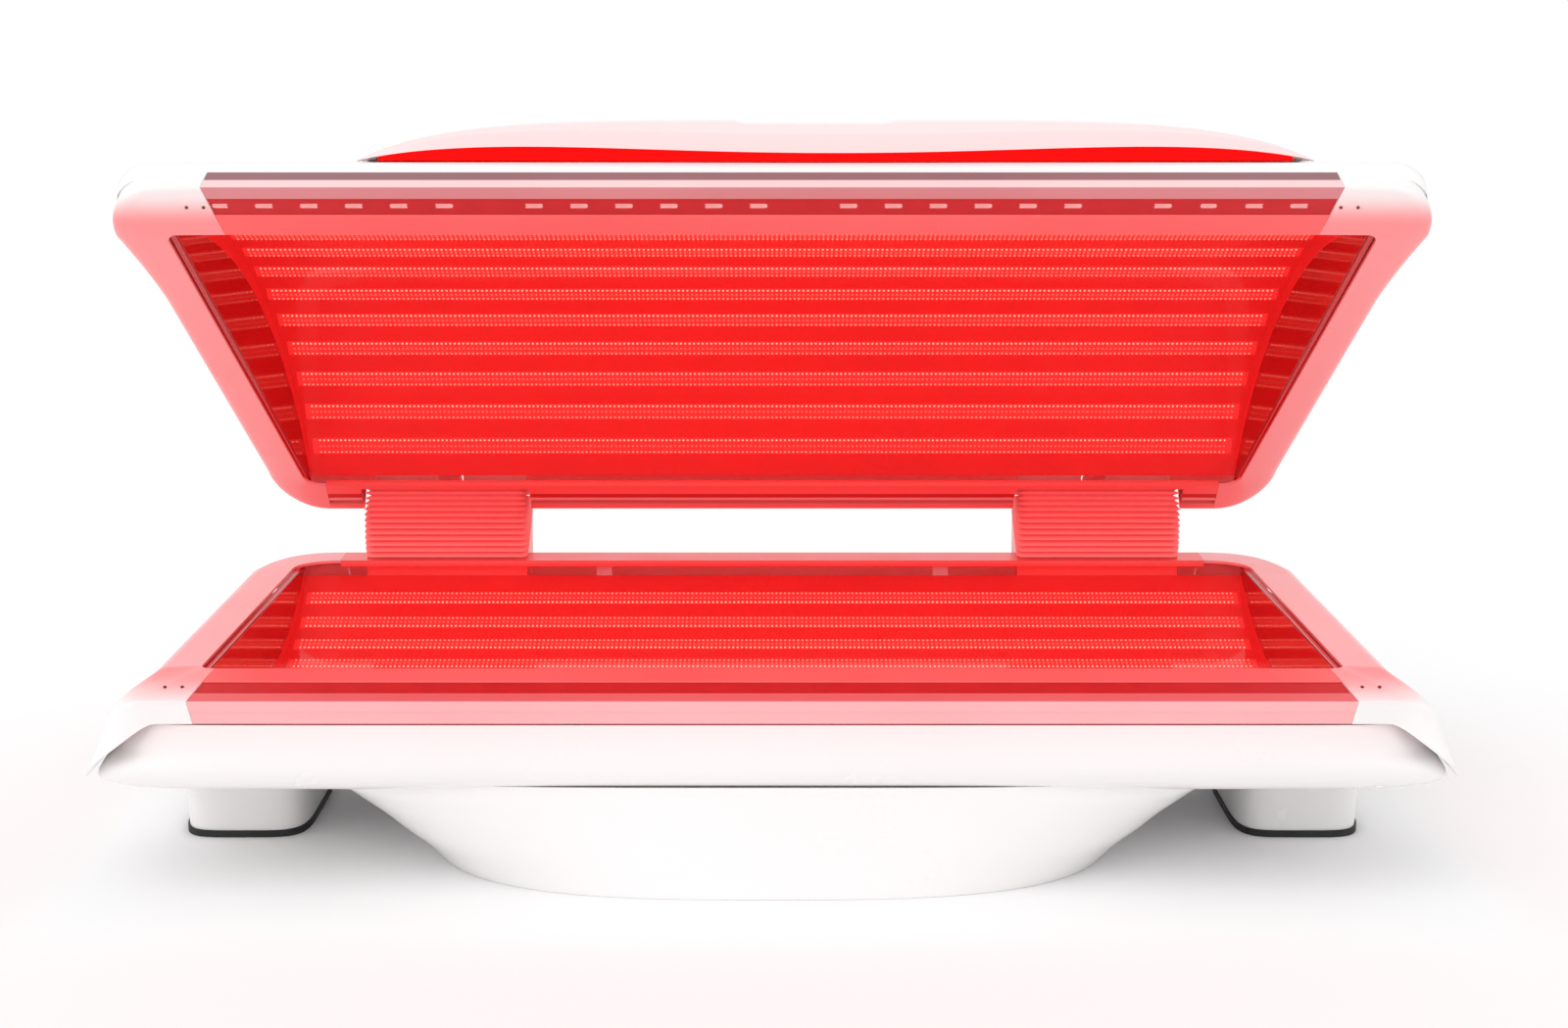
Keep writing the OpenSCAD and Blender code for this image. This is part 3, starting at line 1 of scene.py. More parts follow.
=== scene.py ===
import bpy, math
import numpy as np
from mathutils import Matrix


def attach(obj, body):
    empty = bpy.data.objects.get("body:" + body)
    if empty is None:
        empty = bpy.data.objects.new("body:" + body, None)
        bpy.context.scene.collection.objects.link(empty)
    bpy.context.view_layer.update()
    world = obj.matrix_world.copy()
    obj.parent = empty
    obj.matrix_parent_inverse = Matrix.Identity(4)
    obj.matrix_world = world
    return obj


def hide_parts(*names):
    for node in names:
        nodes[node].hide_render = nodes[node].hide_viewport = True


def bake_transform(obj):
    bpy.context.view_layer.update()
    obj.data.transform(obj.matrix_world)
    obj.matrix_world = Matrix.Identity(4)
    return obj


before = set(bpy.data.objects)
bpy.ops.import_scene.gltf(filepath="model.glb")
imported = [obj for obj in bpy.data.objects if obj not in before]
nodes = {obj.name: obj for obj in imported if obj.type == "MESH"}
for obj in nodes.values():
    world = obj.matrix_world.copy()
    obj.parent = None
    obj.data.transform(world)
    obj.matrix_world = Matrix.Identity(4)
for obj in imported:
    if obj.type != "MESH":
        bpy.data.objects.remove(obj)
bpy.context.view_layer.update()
print("frame loaded,", len(nodes), "nodes")

# Shared sizes in millimetres. Every shape is worked out in them, and addPiece scales it to metres.
bed = dict(half=1125, front=-570, rear=315, back=662, rim=385, noseReach=92, noseDrop=32, chinBack=17,
           chinDepth=74, seam=911.3, seamSlant=28, lip=5.5, wall=4)
canopy = dict(shut=405, hingeY=500, hingeZ=482, openBy=37.8, seam=903.3, wall=4)
seamAngle = math.degrees(math.atan2(-bed["noseReach"], bed["seamSlant"]))


# Small shape functions

def mixed(a, b, t):
    return a + (b - a) * t


def eased(t):  # 0 below 0, 1 above 1, and a soft S between them
    t = np.clip(t, 0, 1)
    return t * t * (3 - 2 * t)


def gradual(knots, values, at):
    # a smooth line through the knots that never passes beyond them: cubic pieces, level where the line turns
    x, y, at = np.asarray(knots, float), np.asarray(values, float), np.asarray(at, float)
    gap = np.diff(x)
    rise = np.diff(y) / gap
    before, after = 2 * gap[1:] + gap[:-1], gap[1:] + 2 * gap[:-1]
    same = rise[:-1] * rise[1:] > 0
    low, high = np.where(same, rise[:-1], 1), np.where(same, rise[1:], 1)
    inside = np.where(same, (before + after) / (before / low + after / high), 0)
    slope = np.concatenate([[rise[0]], inside, [rise[-1]]])
    k = np.clip(np.searchsorted(x, at, side="right") - 1, 0, len(gap) - 1)
    t = (at - x[k]) / gap[k]
    return ((1 + 2 * t) * (1 - t) ** 2 * y[k] + t * (1 - t) ** 2 * gap[k] * slope[k]
            + t * t * (3 - 2 * t) * y[k + 1] + t * t * (t - 1) * gap[k] * slope[k + 1])


def softLine(points, count):
    # a smooth curve through a few points of a section, at even shares between them
    points = np.asarray(points, float)
    at = np.linspace(0, len(points) - 1, count)
    knots = np.arange(len(points))
    return np.stack([gradual(knots, points[:, k], at) for k in range(points.shape[1])], 1)


def evenly(line, count, bend=260):
    # the same line with its points moved to even steps of length, where a turn counts as extra length
    step = np.diff(line, axis=0)
    length = np.hypot(step[:, 0], step[:, 1])
    heading = np.unwrap(np.arctan2(step[:, 1], step[:, 0]))
    walked = np.concatenate([[0], np.cumsum(length + bend * np.abs(np.diff(heading, prepend=heading[0])))])
    at = np.linspace(0, walked[-1], count)
    return np.stack([np.interp(at, walked, line[:, 0]), np.interp(at, walked, line[:, 1])], 1)


def roundedPlan(angles, halfX, halfY, power):
    # a rounded rectangle seen from above: |x / halfX|^power + |y / halfY|^power = 1
    c, s = np.cos(np.radians(angles)), np.sin(np.radians(angles))
    return np.stack([halfX * np.sign(c) * np.abs(c) ** (2 / power), halfY * np.sign(s) * np.abs(s) ** (2 / power)], 1)


def cornerReach(a, b, angle, power):
    # distance to a rounded corner along a direction, when it reaches a sideways and b forwards
    c, s = np.abs(np.cos(np.radians(angle))), np.abs(np.sin(np.radians(angle)))
    return ((c / a) ** power + (s / b) ** power) ** (-1 / power)


def opened(points):
    # a point of the closed canopy turned about the hinge line to where it stands open
    c, s = math.cos(math.radians(canopy["openBy"])), math.sin(math.radians(canopy["openBy"]))
    p = np.array(points, float)
    y, z = p[..., 1] - canopy["hingeY"], p[..., 2] - canopy["hingeZ"]
    p[..., 1] = canopy["hingeY"] + y * c + z * s
    p[..., 2] = canopy["hingeZ"] - y * s + z * c
    return p


def sided(surfaces, side):
    # the surfaces of the right end, mirrored when side is -1
    return [surface * np.array([side, 1, 1]) for surface in surfaces]


# Meshes

def gridFaces(rows, cols, around=False, start=0):
    # one face between each two neighbouring rows and columns; around closes each row into a ring
    i = np.arange(rows - 1)[:, None]
    j = np.arange(cols if around else cols - 1)[None, :]
    k = (j + 1) % cols
    return (start + np.stack([i * cols + j, i * cols + k, (i + 1) * cols + k, (i + 1) * cols + j], -1)).reshape(-1, 4)


def between(outer, inner, around=False):
    # the closed wall between two surfaces that have the same grid
    rows, cols = outer.shape[:2]
    n = rows * cols
    skin = gridFaces(rows, cols, around)
    faces = [skin, skin[:, ::-1] + n]
    if not around:
        a = np.arange(rows - 1) * cols
        for side, flip in ((a, 1), (a + cols - 1, -1)):
            faces.append(np.stack([side, side + cols, side + cols + n, side + n], 1)[:, ::flip])
    j = np.arange(cols if around else cols - 1)
    k = (j + 1) % cols
    for row, flip in ((0, -1), ((rows - 1) * cols, 1)):
        faces.append(np.stack([row + j, row + k, row + k + n, row + j + n], 1)[:, ::flip])
    return np.concatenate([outer.reshape(-1, 3), inner.reshape(-1, 3)]), np.concatenate(faces)


def prism(sections):
    # closed loops of the same number of points, one behind the other, with both ends closed
    rows, cols = sections.shape[:2]
    faces = [list(f) for f in gridFaces(rows, cols, True)]
    faces += [list(range(cols))[::-1], list(range((rows - 1) * cols, rows * cols))]
    return sections.reshape(-1, 3), faces


def enclosed(points, faces):
    # volume inside a closed mesh; it is negative when the faces point inwards
    total = 0.0
    sizes = np.array([len(f) for f in faces])
    for size in np.unique(sizes):
        f = np.array([faces[i] for i in np.flatnonzero(sizes == size)])
        for k in range(1, size - 1):
            total += np.einsum("ij,ij->i", points[f[:, 0]], np.cross(points[f[:, k]], points[f[:, k + 1]])).sum()
    return total / 6


def addPiece(name, body, shape, paints, stands=(), tone=None, paintOf=None, crease=38, ride=True):
    # makes the object: shape is points and faces, tone the share of painted red light at each point (kept as the
    # glow attribute; on the lamp lenses it is their brightness), and paintOf the paint of each face
    points, faces = shape
    points = np.asarray(points, float) / 1000
    if enclosed(points, faces) < 0:
        faces = [list(f)[::-1] for f in faces]
    mesh = bpy.data.meshes.new(name)
    mesh.from_pydata(points.tolist(), [], [list(map(int, f)) for f in faces])
    for paint in paints if isinstance(paints, (list, tuple)) else [paints]:
        mesh.materials.append(paint)
    if paintOf is not None:
        mesh.polygons.foreach_set("material_index", np.asarray(paintOf, np.int32))
    if tone is not None:
        attribute = mesh.attributes.new("glow", "FLOAT", "POINT")
        attribute.data.foreach_set("value", np.asarray(tone, np.float32).ravel())
    mesh.shade_smooth()
    mesh.set_sharp_from_angle(angle=math.radians(crease))
    mesh.update()
    piece = bpy.data.objects.new(name, mesh)
    bpy.context.scene.collection.objects.link(piece)
    if stands:
        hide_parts(*stands)
    if ride:
        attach(piece, body)
    return piece


def carve(piece, blocks, crease=38):
    # takes square blocks out of a finished piece; each block is its low and its high corner in millimetres
    corner = np.array([[0, 0, 0], [1, 0, 0], [1, 1, 0], [0, 1, 0], [0, 0, 1], [1, 0, 1], [1, 1, 1], [0, 1, 1]])
    side = np.array([[0, 3, 2, 1], [4, 5, 6, 7], [0, 1, 5, 4], [1, 2, 6, 5], [2, 3, 7, 6], [3, 0, 4, 7]])
    blocks = np.asarray(blocks, float).reshape(-1, 2, 3) / 1000
    points = (blocks[:, None, 0] + corner[None] * (blocks[:, None, 1] - blocks[:, None, 0])).reshape(-1, 3)
    faces = (side[None] + 8 * np.arange(len(blocks))[:, None, None]).reshape(-1, 4)
    mesh = bpy.data.meshes.new("cutter")
    mesh.from_pydata(points.tolist(), [], faces.tolist())
    cutter = bpy.data.objects.new("cutter", mesh)
    bpy.context.scene.collection.objects.link(cutter)
    cut = piece.modifiers.new("cut", "BOOLEAN")
    cut.operation, cut.solver, cut.object = "DIFFERENCE", "EXACT", cutter
    bpy.context.view_layer.update()
    result = bpy.data.meshes.new_from_object(piece.evaluated_get(bpy.context.evaluated_depsgraph_get()))
    piece.modifiers.clear()
    piece.data = result
    result.set_sharp_from_angle(angle=math.radians(crease))
    bpy.data.objects.remove(cutter)


# Finishes

def shade(r, g, b):  # a colour as it should look on screen, 0 to 255, for a shader
    return tuple(float(v) for v in np.where(np.array([r, g, b]) <= 10.31, np.array([r, g, b]) / 255 / 12.92,
                                            ((np.array([r, g, b]) / 255 + 0.055) / 1.055) ** 2.4)) + (1.0,)


def joined(tree, source, target):
    tree.links.new(source, target)


def noiseOn(tree, place, scale, detail=3.0):
    noise = tree.nodes.new("ShaderNodeTexNoise")
    noise.inputs["Scale"].default_value = scale
    noise.inputs["Detail"].default_value = detail
    joined(tree, place, noise.inputs["Vector"])
    return noise.outputs["Fac"]


def ranged(tree, value, low, high, lowest=0.3, highest=0.7):
    scale = tree.nodes.new("ShaderNodeMapRange")
    scale.inputs["From Min"].default_value, scale.inputs["From Max"].default_value = lowest, highest
    scale.inputs["To Min"].default_value, scale.inputs["To Max"].default_value = low, high
    joined(tree, value, scale.inputs["Value"])
    return scale.outputs["Result"]


def blended(tree, factor, a, b):
    mix = tree.nodes.new("ShaderNodeMix")
    mix.data_type = "RGBA"
    joined(tree, factor, mix.inputs[0])
    for value, socket in ((a, mix.inputs[6]), (b, mix.inputs[7])):
        if isinstance(value, tuple):
            socket.default_value = value
        else:
            joined(tree, value, socket)
    return mix.outputs[2]


def glowOn(tree):
    reading = tree.nodes.new("ShaderNodeAttribute")
    reading.attribute_name = "glow"
    return reading.outputs["Fac"]


def axisOf(tree, vector, axis):
    axes = tree.nodes.new("ShaderNodeSeparateXYZ")
    joined(tree, vector, axes.inputs["Vector"])
    return axes.outputs[axis]


def finish(name, colour, second, patch=4.0, rough=(0.25, 0.35), roughPatch=9.0, grain=400.0, depth=0.00002,
           metal=0.0, coat=0.0, specular=0.5, litColour=None, light=None, lightPower=0.0, lightGlow=False,
           stretch=None, alpha=1.0, ior=1.5):
    # a paint, plastic or metal: two near colours in soft patches, uneven gloss, and a fine relief. litColour is mixed
    # into the colour by the glow attribute: painted light on covers, strip points and bellows ridges, the lit colour
    # of the lamp lenses. light is an emission, and on parts that are no lamps it is a painted glow
    paint = bpy.data.materials.new(name)
    paint.use_nodes = True
    tree = paint.node_tree
    shader = tree.nodes["Principled BSDF"]
    place = tree.nodes.new("ShaderNodeTexCoord").outputs["Object"]
    if stretch:
        turn = tree.nodes.new("ShaderNodeMapping")
        turn.inputs["Scale"].default_value = stretch
        joined(tree, place, turn.inputs["Vector"])
        place = turn.outputs["Vector"]
    surface = blended(tree, ranged(tree, noiseOn(tree, place, patch), 0, 1), shade(*colour), shade(*second))
    if litColour:
        surface = blended(tree, glowOn(tree), surface, shade(*litColour))
    joined(tree, surface, shader.inputs["Base Color"])
    joined(tree, ranged(tree, noiseOn(tree, place, roughPatch), *rough), shader.inputs["Roughness"])
    relief = tree.nodes.new("ShaderNodeBump")
    relief.inputs["Strength"].default_value = 0.6
    relief.inputs["Distance"].default_value = depth
    joined(tree, noiseOn(tree, place, grain, 2.0), relief.inputs["Height"])
    joined(tree, relief.outputs["Normal"], shader.inputs["Normal"])
    shader.inputs["Metallic"].default_value = metal
    shader.inputs["Coat Weight"].default_value = coat
    shader.inputs["Coat Roughness"].default_value = 0.06
    shader.inputs["Specular IOR Level"].default_value = specular
    shader.inputs["IOR"].default_value = ior
    shader.inputs["Alpha"].default_value = alpha
    if light:
        shader.inputs["Emission Color"].default_value = shade(*light)
        shader.inputs["Emission Strength"].default_value = lightPower
        if lightGlow:
            joined(tree, ranged(tree, glowOn(tree), 0, lightPower, 0, 1), shader.inputs["Emission Strength"])
    return paint


# white plastic; its pink litColour is painted red LED light, mixed in where the glow attribute is high
whiteCover = finish("whiteCover", (252, 249, 249), (248, 246, 246), patch=1.5, rough=(0.2, 0.28),
                    depth=0.000012, coat=0.25, litColour=(255, 148, 150))
# lit and shaded copies of one white plastic under painted red LED light: coral where it falls full, lighter and
# darker pinks on faces turned from it, and grooveShade as painted shade in the chin's sunk band
rimLightBands = [("redLightCoral", (255, 98, 98), (255, 106, 106), (0.3, 0.38), 0.1),
             ("redLightPale", (255, 186, 188), (255, 178, 180), (0.3, 0.38), 0.1),
             ("redLightMid", (233, 104, 108), (226, 98, 103), (0.32, 0.4), 0.0),
             ("redLightDusky", (222, 142, 146), (215, 134, 139), (0.32, 0.4), 0.0),
             ("redLightBlush", (255, 210, 210), (255, 204, 205), (0.3, 0.38), 0.0),
             ("grooveShade", (152, 104, 108), (142, 96, 101), (0.35, 0.45), 0.0)]
redLightCoral, redLightPale, redLightMid, redLightDusky, redLightBlush, grooveShade = [
    finish(name, colour, second, patch=3, rough=rough, coat=coat) for name, colour, second, rough, coat in rimLightBands]
# dark red of the sunk strips, with a faint painted red glow
stripRed = finish("stripRed", (196, 16, 22), (182, 12, 18), patch=30, rough=(0.4, 0.5), grain=900,
                  light=(190, 12, 18), lightPower=0.12)
# points of the strips: where the glow attribute is 1 they turn cream and glow, painted light of the lamps behind the
# strip
stripDots = finish("stripDots", (214, 40, 46), (204, 32, 38), patch=40, rough=(0.35, 0.45), grain=900,
                   litColour=(255, 225, 222), light=(255, 226, 222), lightPower=0.55, lightGlow=True)
lampBoard = finish("lampBoard", (214, 30, 34), (196, 22, 26), patch=60, rough=(0.35, 0.5), grain=700,
                   light=(255, 62, 60), lightPower=0.55, stretch=(1.0, 4.0, 4.0))
lampLens = finish("lampLens", (235, 70, 60), (225, 55, 48), patch=80, rough=(0.12, 0.2), grain=500,
                  litColour=(255, 205, 175), light=(255, 205, 175), lightPower=1.0, lightGlow=True)
lampLens.cycles.emission_sampling = "NONE"
stripDots.cycles.emission_sampling = "NONE"
# clear sheet with a red tint and a faint red emission: a painted glow standing in for the lamps' light through it
clearSheetGlow = finish("clearSheetGlow", (255, 70, 66), (250, 60, 58), patch=1.2, rough=(0.03, 0.07), grain=60,
                    depth=0.00001, light=(255, 40, 38), lightPower=0.3, alpha=0.18, ior=1.6, specular=0.8)
# end walls of the tubs: dark red painted shade, with a faint painted red glow
endPanelShade = finish("endPanelShade", (165, 6, 10), (140, 2, 6), patch=2.5, rough=(0.08, 0.14), depth=0.00001,
                   light=(180, 4, 8), lightPower=0.12, coat=0.4)
hoodStripPaint = finish("hoodStripPaint", (225, 0, 0), (212, 0, 0), patch=6, rough=(0.45, 0.55), specular=0.1,
                        light=(255, 0, 0), lightPower=0.8)
# bellows cloth: pink, with a lighter litColour on the ridges by the glow attribute (painted light, the folds in
# painted shade) and a faint painted red glow
cloth = finish("cloth", (242, 92, 94), (236, 86, 89), patch=12, rough=(0.5, 0.62), grain=1500,
               depth=0.00006, litColour=(255, 150, 150), light=(255, 110, 110), lightPower=0.12)
screwRed = finish("screwRed", (150, 34, 40), (134, 26, 32), patch=90, rough=(0.3, 0.42), grain=1500)
padRubber = finish("padRubber", (38, 40, 40), (30, 32, 33), patch=25, rough=(0.6, 0.75), grain=900,
                   depth=0.00006)
framePaint = finish("framePaint", (214, 216, 219), (205, 207, 211), patch=12, rough=(0.4, 0.5), grain=1200,
                    depth=0.00005)
# trays between the lamp boards: dark red with a painted red glow of the LEDs' light on them
trayRedGlow = finish("trayRedGlow", (200, 26, 30), (186, 20, 24), patch=8, rough=(0.4, 0.5), grain=900,
                   light=(225, 28, 32), lightPower=0.3)
turnedSteel = finish("turnedSteel", (176, 178, 182), (160, 162, 168), patch=60, rough=(0.22, 0.35),
                     grain=1800, metal=1.0, stretch=(1.0, 6.0, 6.0))
springPaint = finish("springPaint", (28, 28, 30), (22, 22, 24), patch=20, rough=(0.18, 0.28), grain=900,
                     coat=0.3)
chromeRod = finish("chromeRod", (226, 227, 230), (216, 218, 222), patch=20, rough=(0.05, 0.1), grain=900,
                   depth=0.000005, metal=1.0)
blackPlastic = finish("blackPlastic", (30, 30, 32), (24, 24, 26), patch=30, rough=(0.45, 0.6), grain=1500,
                      depth=0.00005)
rockerGloss = finish("rockerGloss", (24, 24, 26), (20, 20, 22), patch=30, rough=(0.1, 0.18), coat=0.4)
supplyMetal = finish("supplyMetal", (196, 198, 202), (184, 186, 191), patch=30, rough=(0.3, 0.42),
                     grain=1500, metal=1.0, stretch=(8.0, 1.0, 1.0))
boardGreen = finish("boardGreen", (22, 104, 58), (16, 84, 46), patch=120, rough=(0.35, 0.5), grain=900,
                    depth=0.00004)
print("finishes ready")

# Base: lower shell

lowerShell = dict(top=308.5, bottom=175, splitY=-90, seam=0.15, halfX=1117, middleY=5.5, halfY=650.5, rows=30,
                  frontPoints=180, rearPoints=220, rearPower=10, cornerDip=40)
# share of the height, drawn in at the ends, drawn in at front and rear, squareness of the front corners
lowerLevels = np.array([[0, 72, 1, 22], [0.18, 54, 0, 18], [0.38, 34, 2, 16], [0.58, 16, 9, 24], [0.76, 4, 25, 28],
                        [0.89, 30, 50, 26], [0.97, 66, 85, 20], [1, 120, 135, 16]])


def lowerSurface(part, wall):
    # rounded rectangles at falling heights, each drawn in by its own amount; the front or the rear part of each
    s = lowerShell
    share = np.unique(np.concatenate([np.linspace(0, 0.86, 16), np.linspace(0.86, 1, s["rows"] - 15)]))
    level = np.stack([share] + [gradual(lowerLevels[:, 0], lowerLevels[:, k], share) for k in (1, 2, 3)], 1)
    rows = []
    for h, inX, inY, power in level:
        halfX, halfY = s["halfX"] - inX - wall, s["halfY"] - inY - wall
        cut = (s["middleY"] - s["splitY"] + (s["seam"] if part == "front" else -s["seam"])) / halfY
        a = math.degrees(math.asin(cut ** (power / 2)))
        if part == "front":
            line = roundedPlan(np.linspace(180 + a, 360 - a, 6001), halfX, halfY, power)
            line = evenly(line, s["frontPoints"])
        else:
            line = np.concatenate([roundedPlan(np.linspace(-a, 0, 40), halfX, halfY, power),
                                   roundedPlan(np.linspace(0, 180, 6001)[1:-1], halfX, halfY, s["rearPower"]),
                                   roundedPlan(np.linspace(180, 180 + a, 40), halfX, halfY, power)])
            line = evenly(line, s["rearPoints"])
        x, y = line[:, 0], line[:, 1] + s["middleY"]
        dip = s["cornerDip"] * eased((np.abs(x) - 900) / 140) * eased((y - 60) / 240)
        z = mixed(s["top"] - dip, s["bottom"], h) + wall * max(0, h - 0.7) / 0.3
        rows.append(np.stack([x, y, z], 1))
    return np.array(rows)


for part in ("front", "rear"):
    shape = between(lowerSurface(part, 0), lowerSurface(part, bed["wall"]))
    # painted red light: pink along the top edge, fading downwards, weaker on the rear part
    glow = 0.16 * eased((shape[0][:, 2] - 225) / 90) * (1 if part == "front" else 0.4)
    cover = addPiece(part + "Cover", "base", shape, whiteCover, [part + "_cover"], tone=glow)
mainsWindow = [[[271, 600, 262.5], [329, 700, 286.5]]]
vents = [[[side * 560 - 110 + i * 20 - 4, 600, 246.5], [side * 560 - 110 + i * 20 + 4, 700, 286.5]]
         for side in (-1, 1) for i in range(12)]
carve(cover, mainsWindow + vents)
print("lower shell made")

# Base: pedestal and legs

pedestal = dict(middleY=-110, halfX=(600, 790), halfY=(490, 504), top=195, rows=26, points=160)
pedestalLevels = np.array([[0, 0, 3], [0.16, 0.13, 3.2], [0.36, 0.36, 3.5], [0.52, 0.52, 3.8], [0.72, 0.76, 4.2],
                           [0.9, 0.96, 4.6], [1, 1, 4.6]])
leg = dict(middleX=939, middleY=-66, halfX=(109.5, 153.5), halfY=(187, 297), bottom=12, top=205, power=5, rows=24,
           points=110)
legLevels = np.array([[0, 0], [0.25, 0.03], [0.5, 0.12], [0.7, 0.3], [0.86, 0.58], [1, 1]])


def ringAt(halfX, halfY, power, middleX, middleY, z, points):
    line = evenly(roundedPlan(np.linspace(-90, 270, 4001), halfX, halfY, power), points + 1)[:-1]
    return np.stack([line[:, 0] + middleX, line[:, 1] + middleY, np.full(points, z)], 1)


def pedestalSurface(wall):
    # rounded rectangles from the floor up, which widen in a soft flare
    share = np.linspace(0, 1, pedestal["rows"])
    wide, power = (gradual(pedestalLevels[:, 0], pedestalLevels[:, k], share) for k in (1, 2))
    return np.array([ringAt(mixed(*pedestal["halfX"], w) - wall, mixed(*pedestal["halfY"], w) - wall, p, 0,
                            pedestal["middleY"], pedestal["top"] * h, pedestal["points"])
                     for h, w, p in zip(share, wide, power)])


def legSurface(side, wall):
    # rounded rectangles from the pad up, steep at first and flared under the shell
    share = np.linspace(0, 1, leg["rows"])
    wide = gradual(legLevels[:, 0], legLevels[:, 1], share)
    return np.array([ringAt(mixed(*leg["halfX"], w) - wall, mixed(*leg["halfY"], w) - wall, leg["power"],
                            side * leg["middleX"], leg["middleY"], mixed(leg["bottom"], leg["top"], h), leg["points"])
                     for h, w in zip(share, wide)])


addPiece("pedestalSkirt", "base", between(pedestalSurface(0), pedestalSurface(bed["wall"]), True), whiteCover,
         ["pedestal_skirt"])
for side, word in ((-1, "left"), (1, "right")):
    shape = between(legSurface(side, 0), legSurface(side, bed["wall"]), True)
    addPiece("legCover" + word.capitalize(), "base", shape, whiteCover, ["leg_cover_" + word])
print("pedestal and legs made")

# End covers of the bed and end rails of the canopy

frontSection = [[0, 0], [0.54, 0.22], [0.85, 0.36], [0.97, 0.42], [1, 0.46], [0.91, 0.73], [0.815, 1]]
sideSection = [[0, 0], [0.284, 0], [0.354, 0.02], [0.45, 0.14], [0.62, 0.4], [0.83, 0.72], [1, 1]]
deckSection = [[0, 0], [0.233, 0], [0.277, 0.39], [0.335, 0.74], [0.58, 0.82], [0.9, 0.88], [1, 1]]
endCover = dict(steps=26, sideSteps=18, sectionPoints=44, front=(935, 20), rear=(925, 80), depth=(74, 175, 72),
                cornerPower=6, depthFrom=50, depthOver=40, blendFrom=50, blendOver=44)
canopySide = [[0, 0], [0.3, 0.05], [0.6, 0.1], [0.84, 0.17], [0.97, 0.34], [1, 0.6], [0.99, 1]]
canopyRear = [[0, 0], [0.5, -0.1], [0.93, -0.19], [0.98, -0.1], [1, 0.2], [0.99, 0.5], [0.98, 0.75]]
endRail = dict(steps=26, sideSteps=26, sectionPoints=44, front=(1000, 20), rear=(908, 40), reach=68, flare=23,
               depth=(74, 36, 46), cornerPower=2.6)


def wallRows(line, base, heading, rimZ, side, wall):
    # carries each section (out, down) along its row, and gives the outer surface and the one a wall inside it
    along = np.gradient(line, axis=1)
    along /= np.maximum(np.linalg.norm(along, axis=2, keepdims=True), 1e-9)
    inner = line + wall * -side * np.stack([along[..., 1], -along[..., 0]], 2)
    inner[:, 0] = [0.6 * wall, side * bed["lip"]]
    inner[:, 1] = [0.7 * wall, side * (bed["lip"] - 1)]
    surfaces = []
    for used in (line, inner):
        flat = base[:, None, :] + heading[:, None, :] * used[..., :1]
        surfaces.append(np.concatenate([flat, rimZ + used[..., 1:]], 2))
    return surfaces


def flareOf(t):
    return endRail["flare"] * np.maximum(0, 1 - np.maximum(0, t) / 0.25) ** 1.5


def coverShape(kind, wall):
    # a section carried from the front seam round the front corner, along the end and round the rear corner
    s, bedSide = (endCover, True) if kind == "bed" else (endRail, False)
    side = -1 if bedSide else 1
    front, second, third = (softLine(q, s["sectionPoints"]) for q in
                            ((frontSection, sideSection, deckSection) if bedSide else
                             (frontSection, canopySide, canopyRear)))
    (xf, rf), (xr, rr) = s["front"], s["rear"]
    cf, cr = np.array([xf - rf, bed["front"] + rf]), np.array([xr - rr, bed["rear"] - rr])
    slant = np.array([bed["seamSlant"], -bed["noseReach"]], float)
    a = seamAngle * (1 - np.arange(1, s["steps"] + 1) / s["steps"])
    t = np.linspace(0, 1, s["sideSteps"] + 2)[1:-1] ** (1 if bedSide else 1.6)
    b = np.linspace(0, 90, s["steps"] + 1)
    unitA = np.stack([np.cos(np.radians(a)), np.sin(np.radians(a))], 1)
    unitB = np.stack([np.cos(np.radians(b)), np.sin(np.radians(b))], 1)
    one = np.ones_like(t)
    base = np.concatenate([[[bed["seam"] if bedSide else canopy["seam"], bed["front"]]], cf + rf * unitA,
                           np.stack([mixed(xf, xr, t), mixed(cf[1], cr[1], t)], 1), cr + rr * unitB])
    heading = np.concatenate([[slant / np.linalg.norm(slant)], unitA, np.stack([one, 0 * one], 1), unitB])
    if bedSide:
        reachA = cornerReach(bed["half"] - xf + rf, bed["noseReach"] + rf, a, s["cornerPower"]) - rf
        reachT = bed["half"] - mixed(xf, xr, t)
        reachB = cornerReach(bed["half"] - cr[0], bed["back"] - bed["rear"] + rr, b, 3) - rr
        depthA, depthB = eased((a + s["depthFrom"]) / s["depthOver"]), eased((b - 10) / 70)
        blendA, blendB = eased((a + s["blendFrom"]) / s["blendOver"]), eased(b / 80)
    else:
        reachA = cornerReach(s["reach"] + s["flare"] + rf, bed["noseReach"] + rf, a, s["cornerPower"]) - rf
        reachT = s["reach"] + flareOf(t)
        reachB = cornerReach(s["reach"] + rr, 84 + rr, b, 2.2) - rr
        depthA, depthB = eased((a + 80) / 80), eased(b / 90)
        blendA, blendB = eased((a + 80) / 70), eased(b / 90)
    d0, d1, d2 = s["depth"]
    reach = np.concatenate([[np.linalg.norm(slant)], reachA, reachT, reachB])
    depth = np.concatenate([[d0], mixed(d0, d1, depthA), d1 * one, mixed(d1, d2, depthB)])
    first = np.concatenate([[0], blendA, one, 1 - blendB])[:, None, None]
    last = np.concatenate([[0], 0 * blendA, 0 * one, blendB])[:, None, None]
    section = (1 - first - last) * front + first * second + last * third
    line = np.stack([section[..., 0] * reach[:, None], side * section[..., 1] * depth[:, None]], 2)
    line = np.concatenate([np.repeat([[[0.0, side * bed["lip"]]]], len(line), 0), line], 1)
    return wallRows(line, base, heading, bed["rim"] if bedSide else canopy["shut"], side, wall)


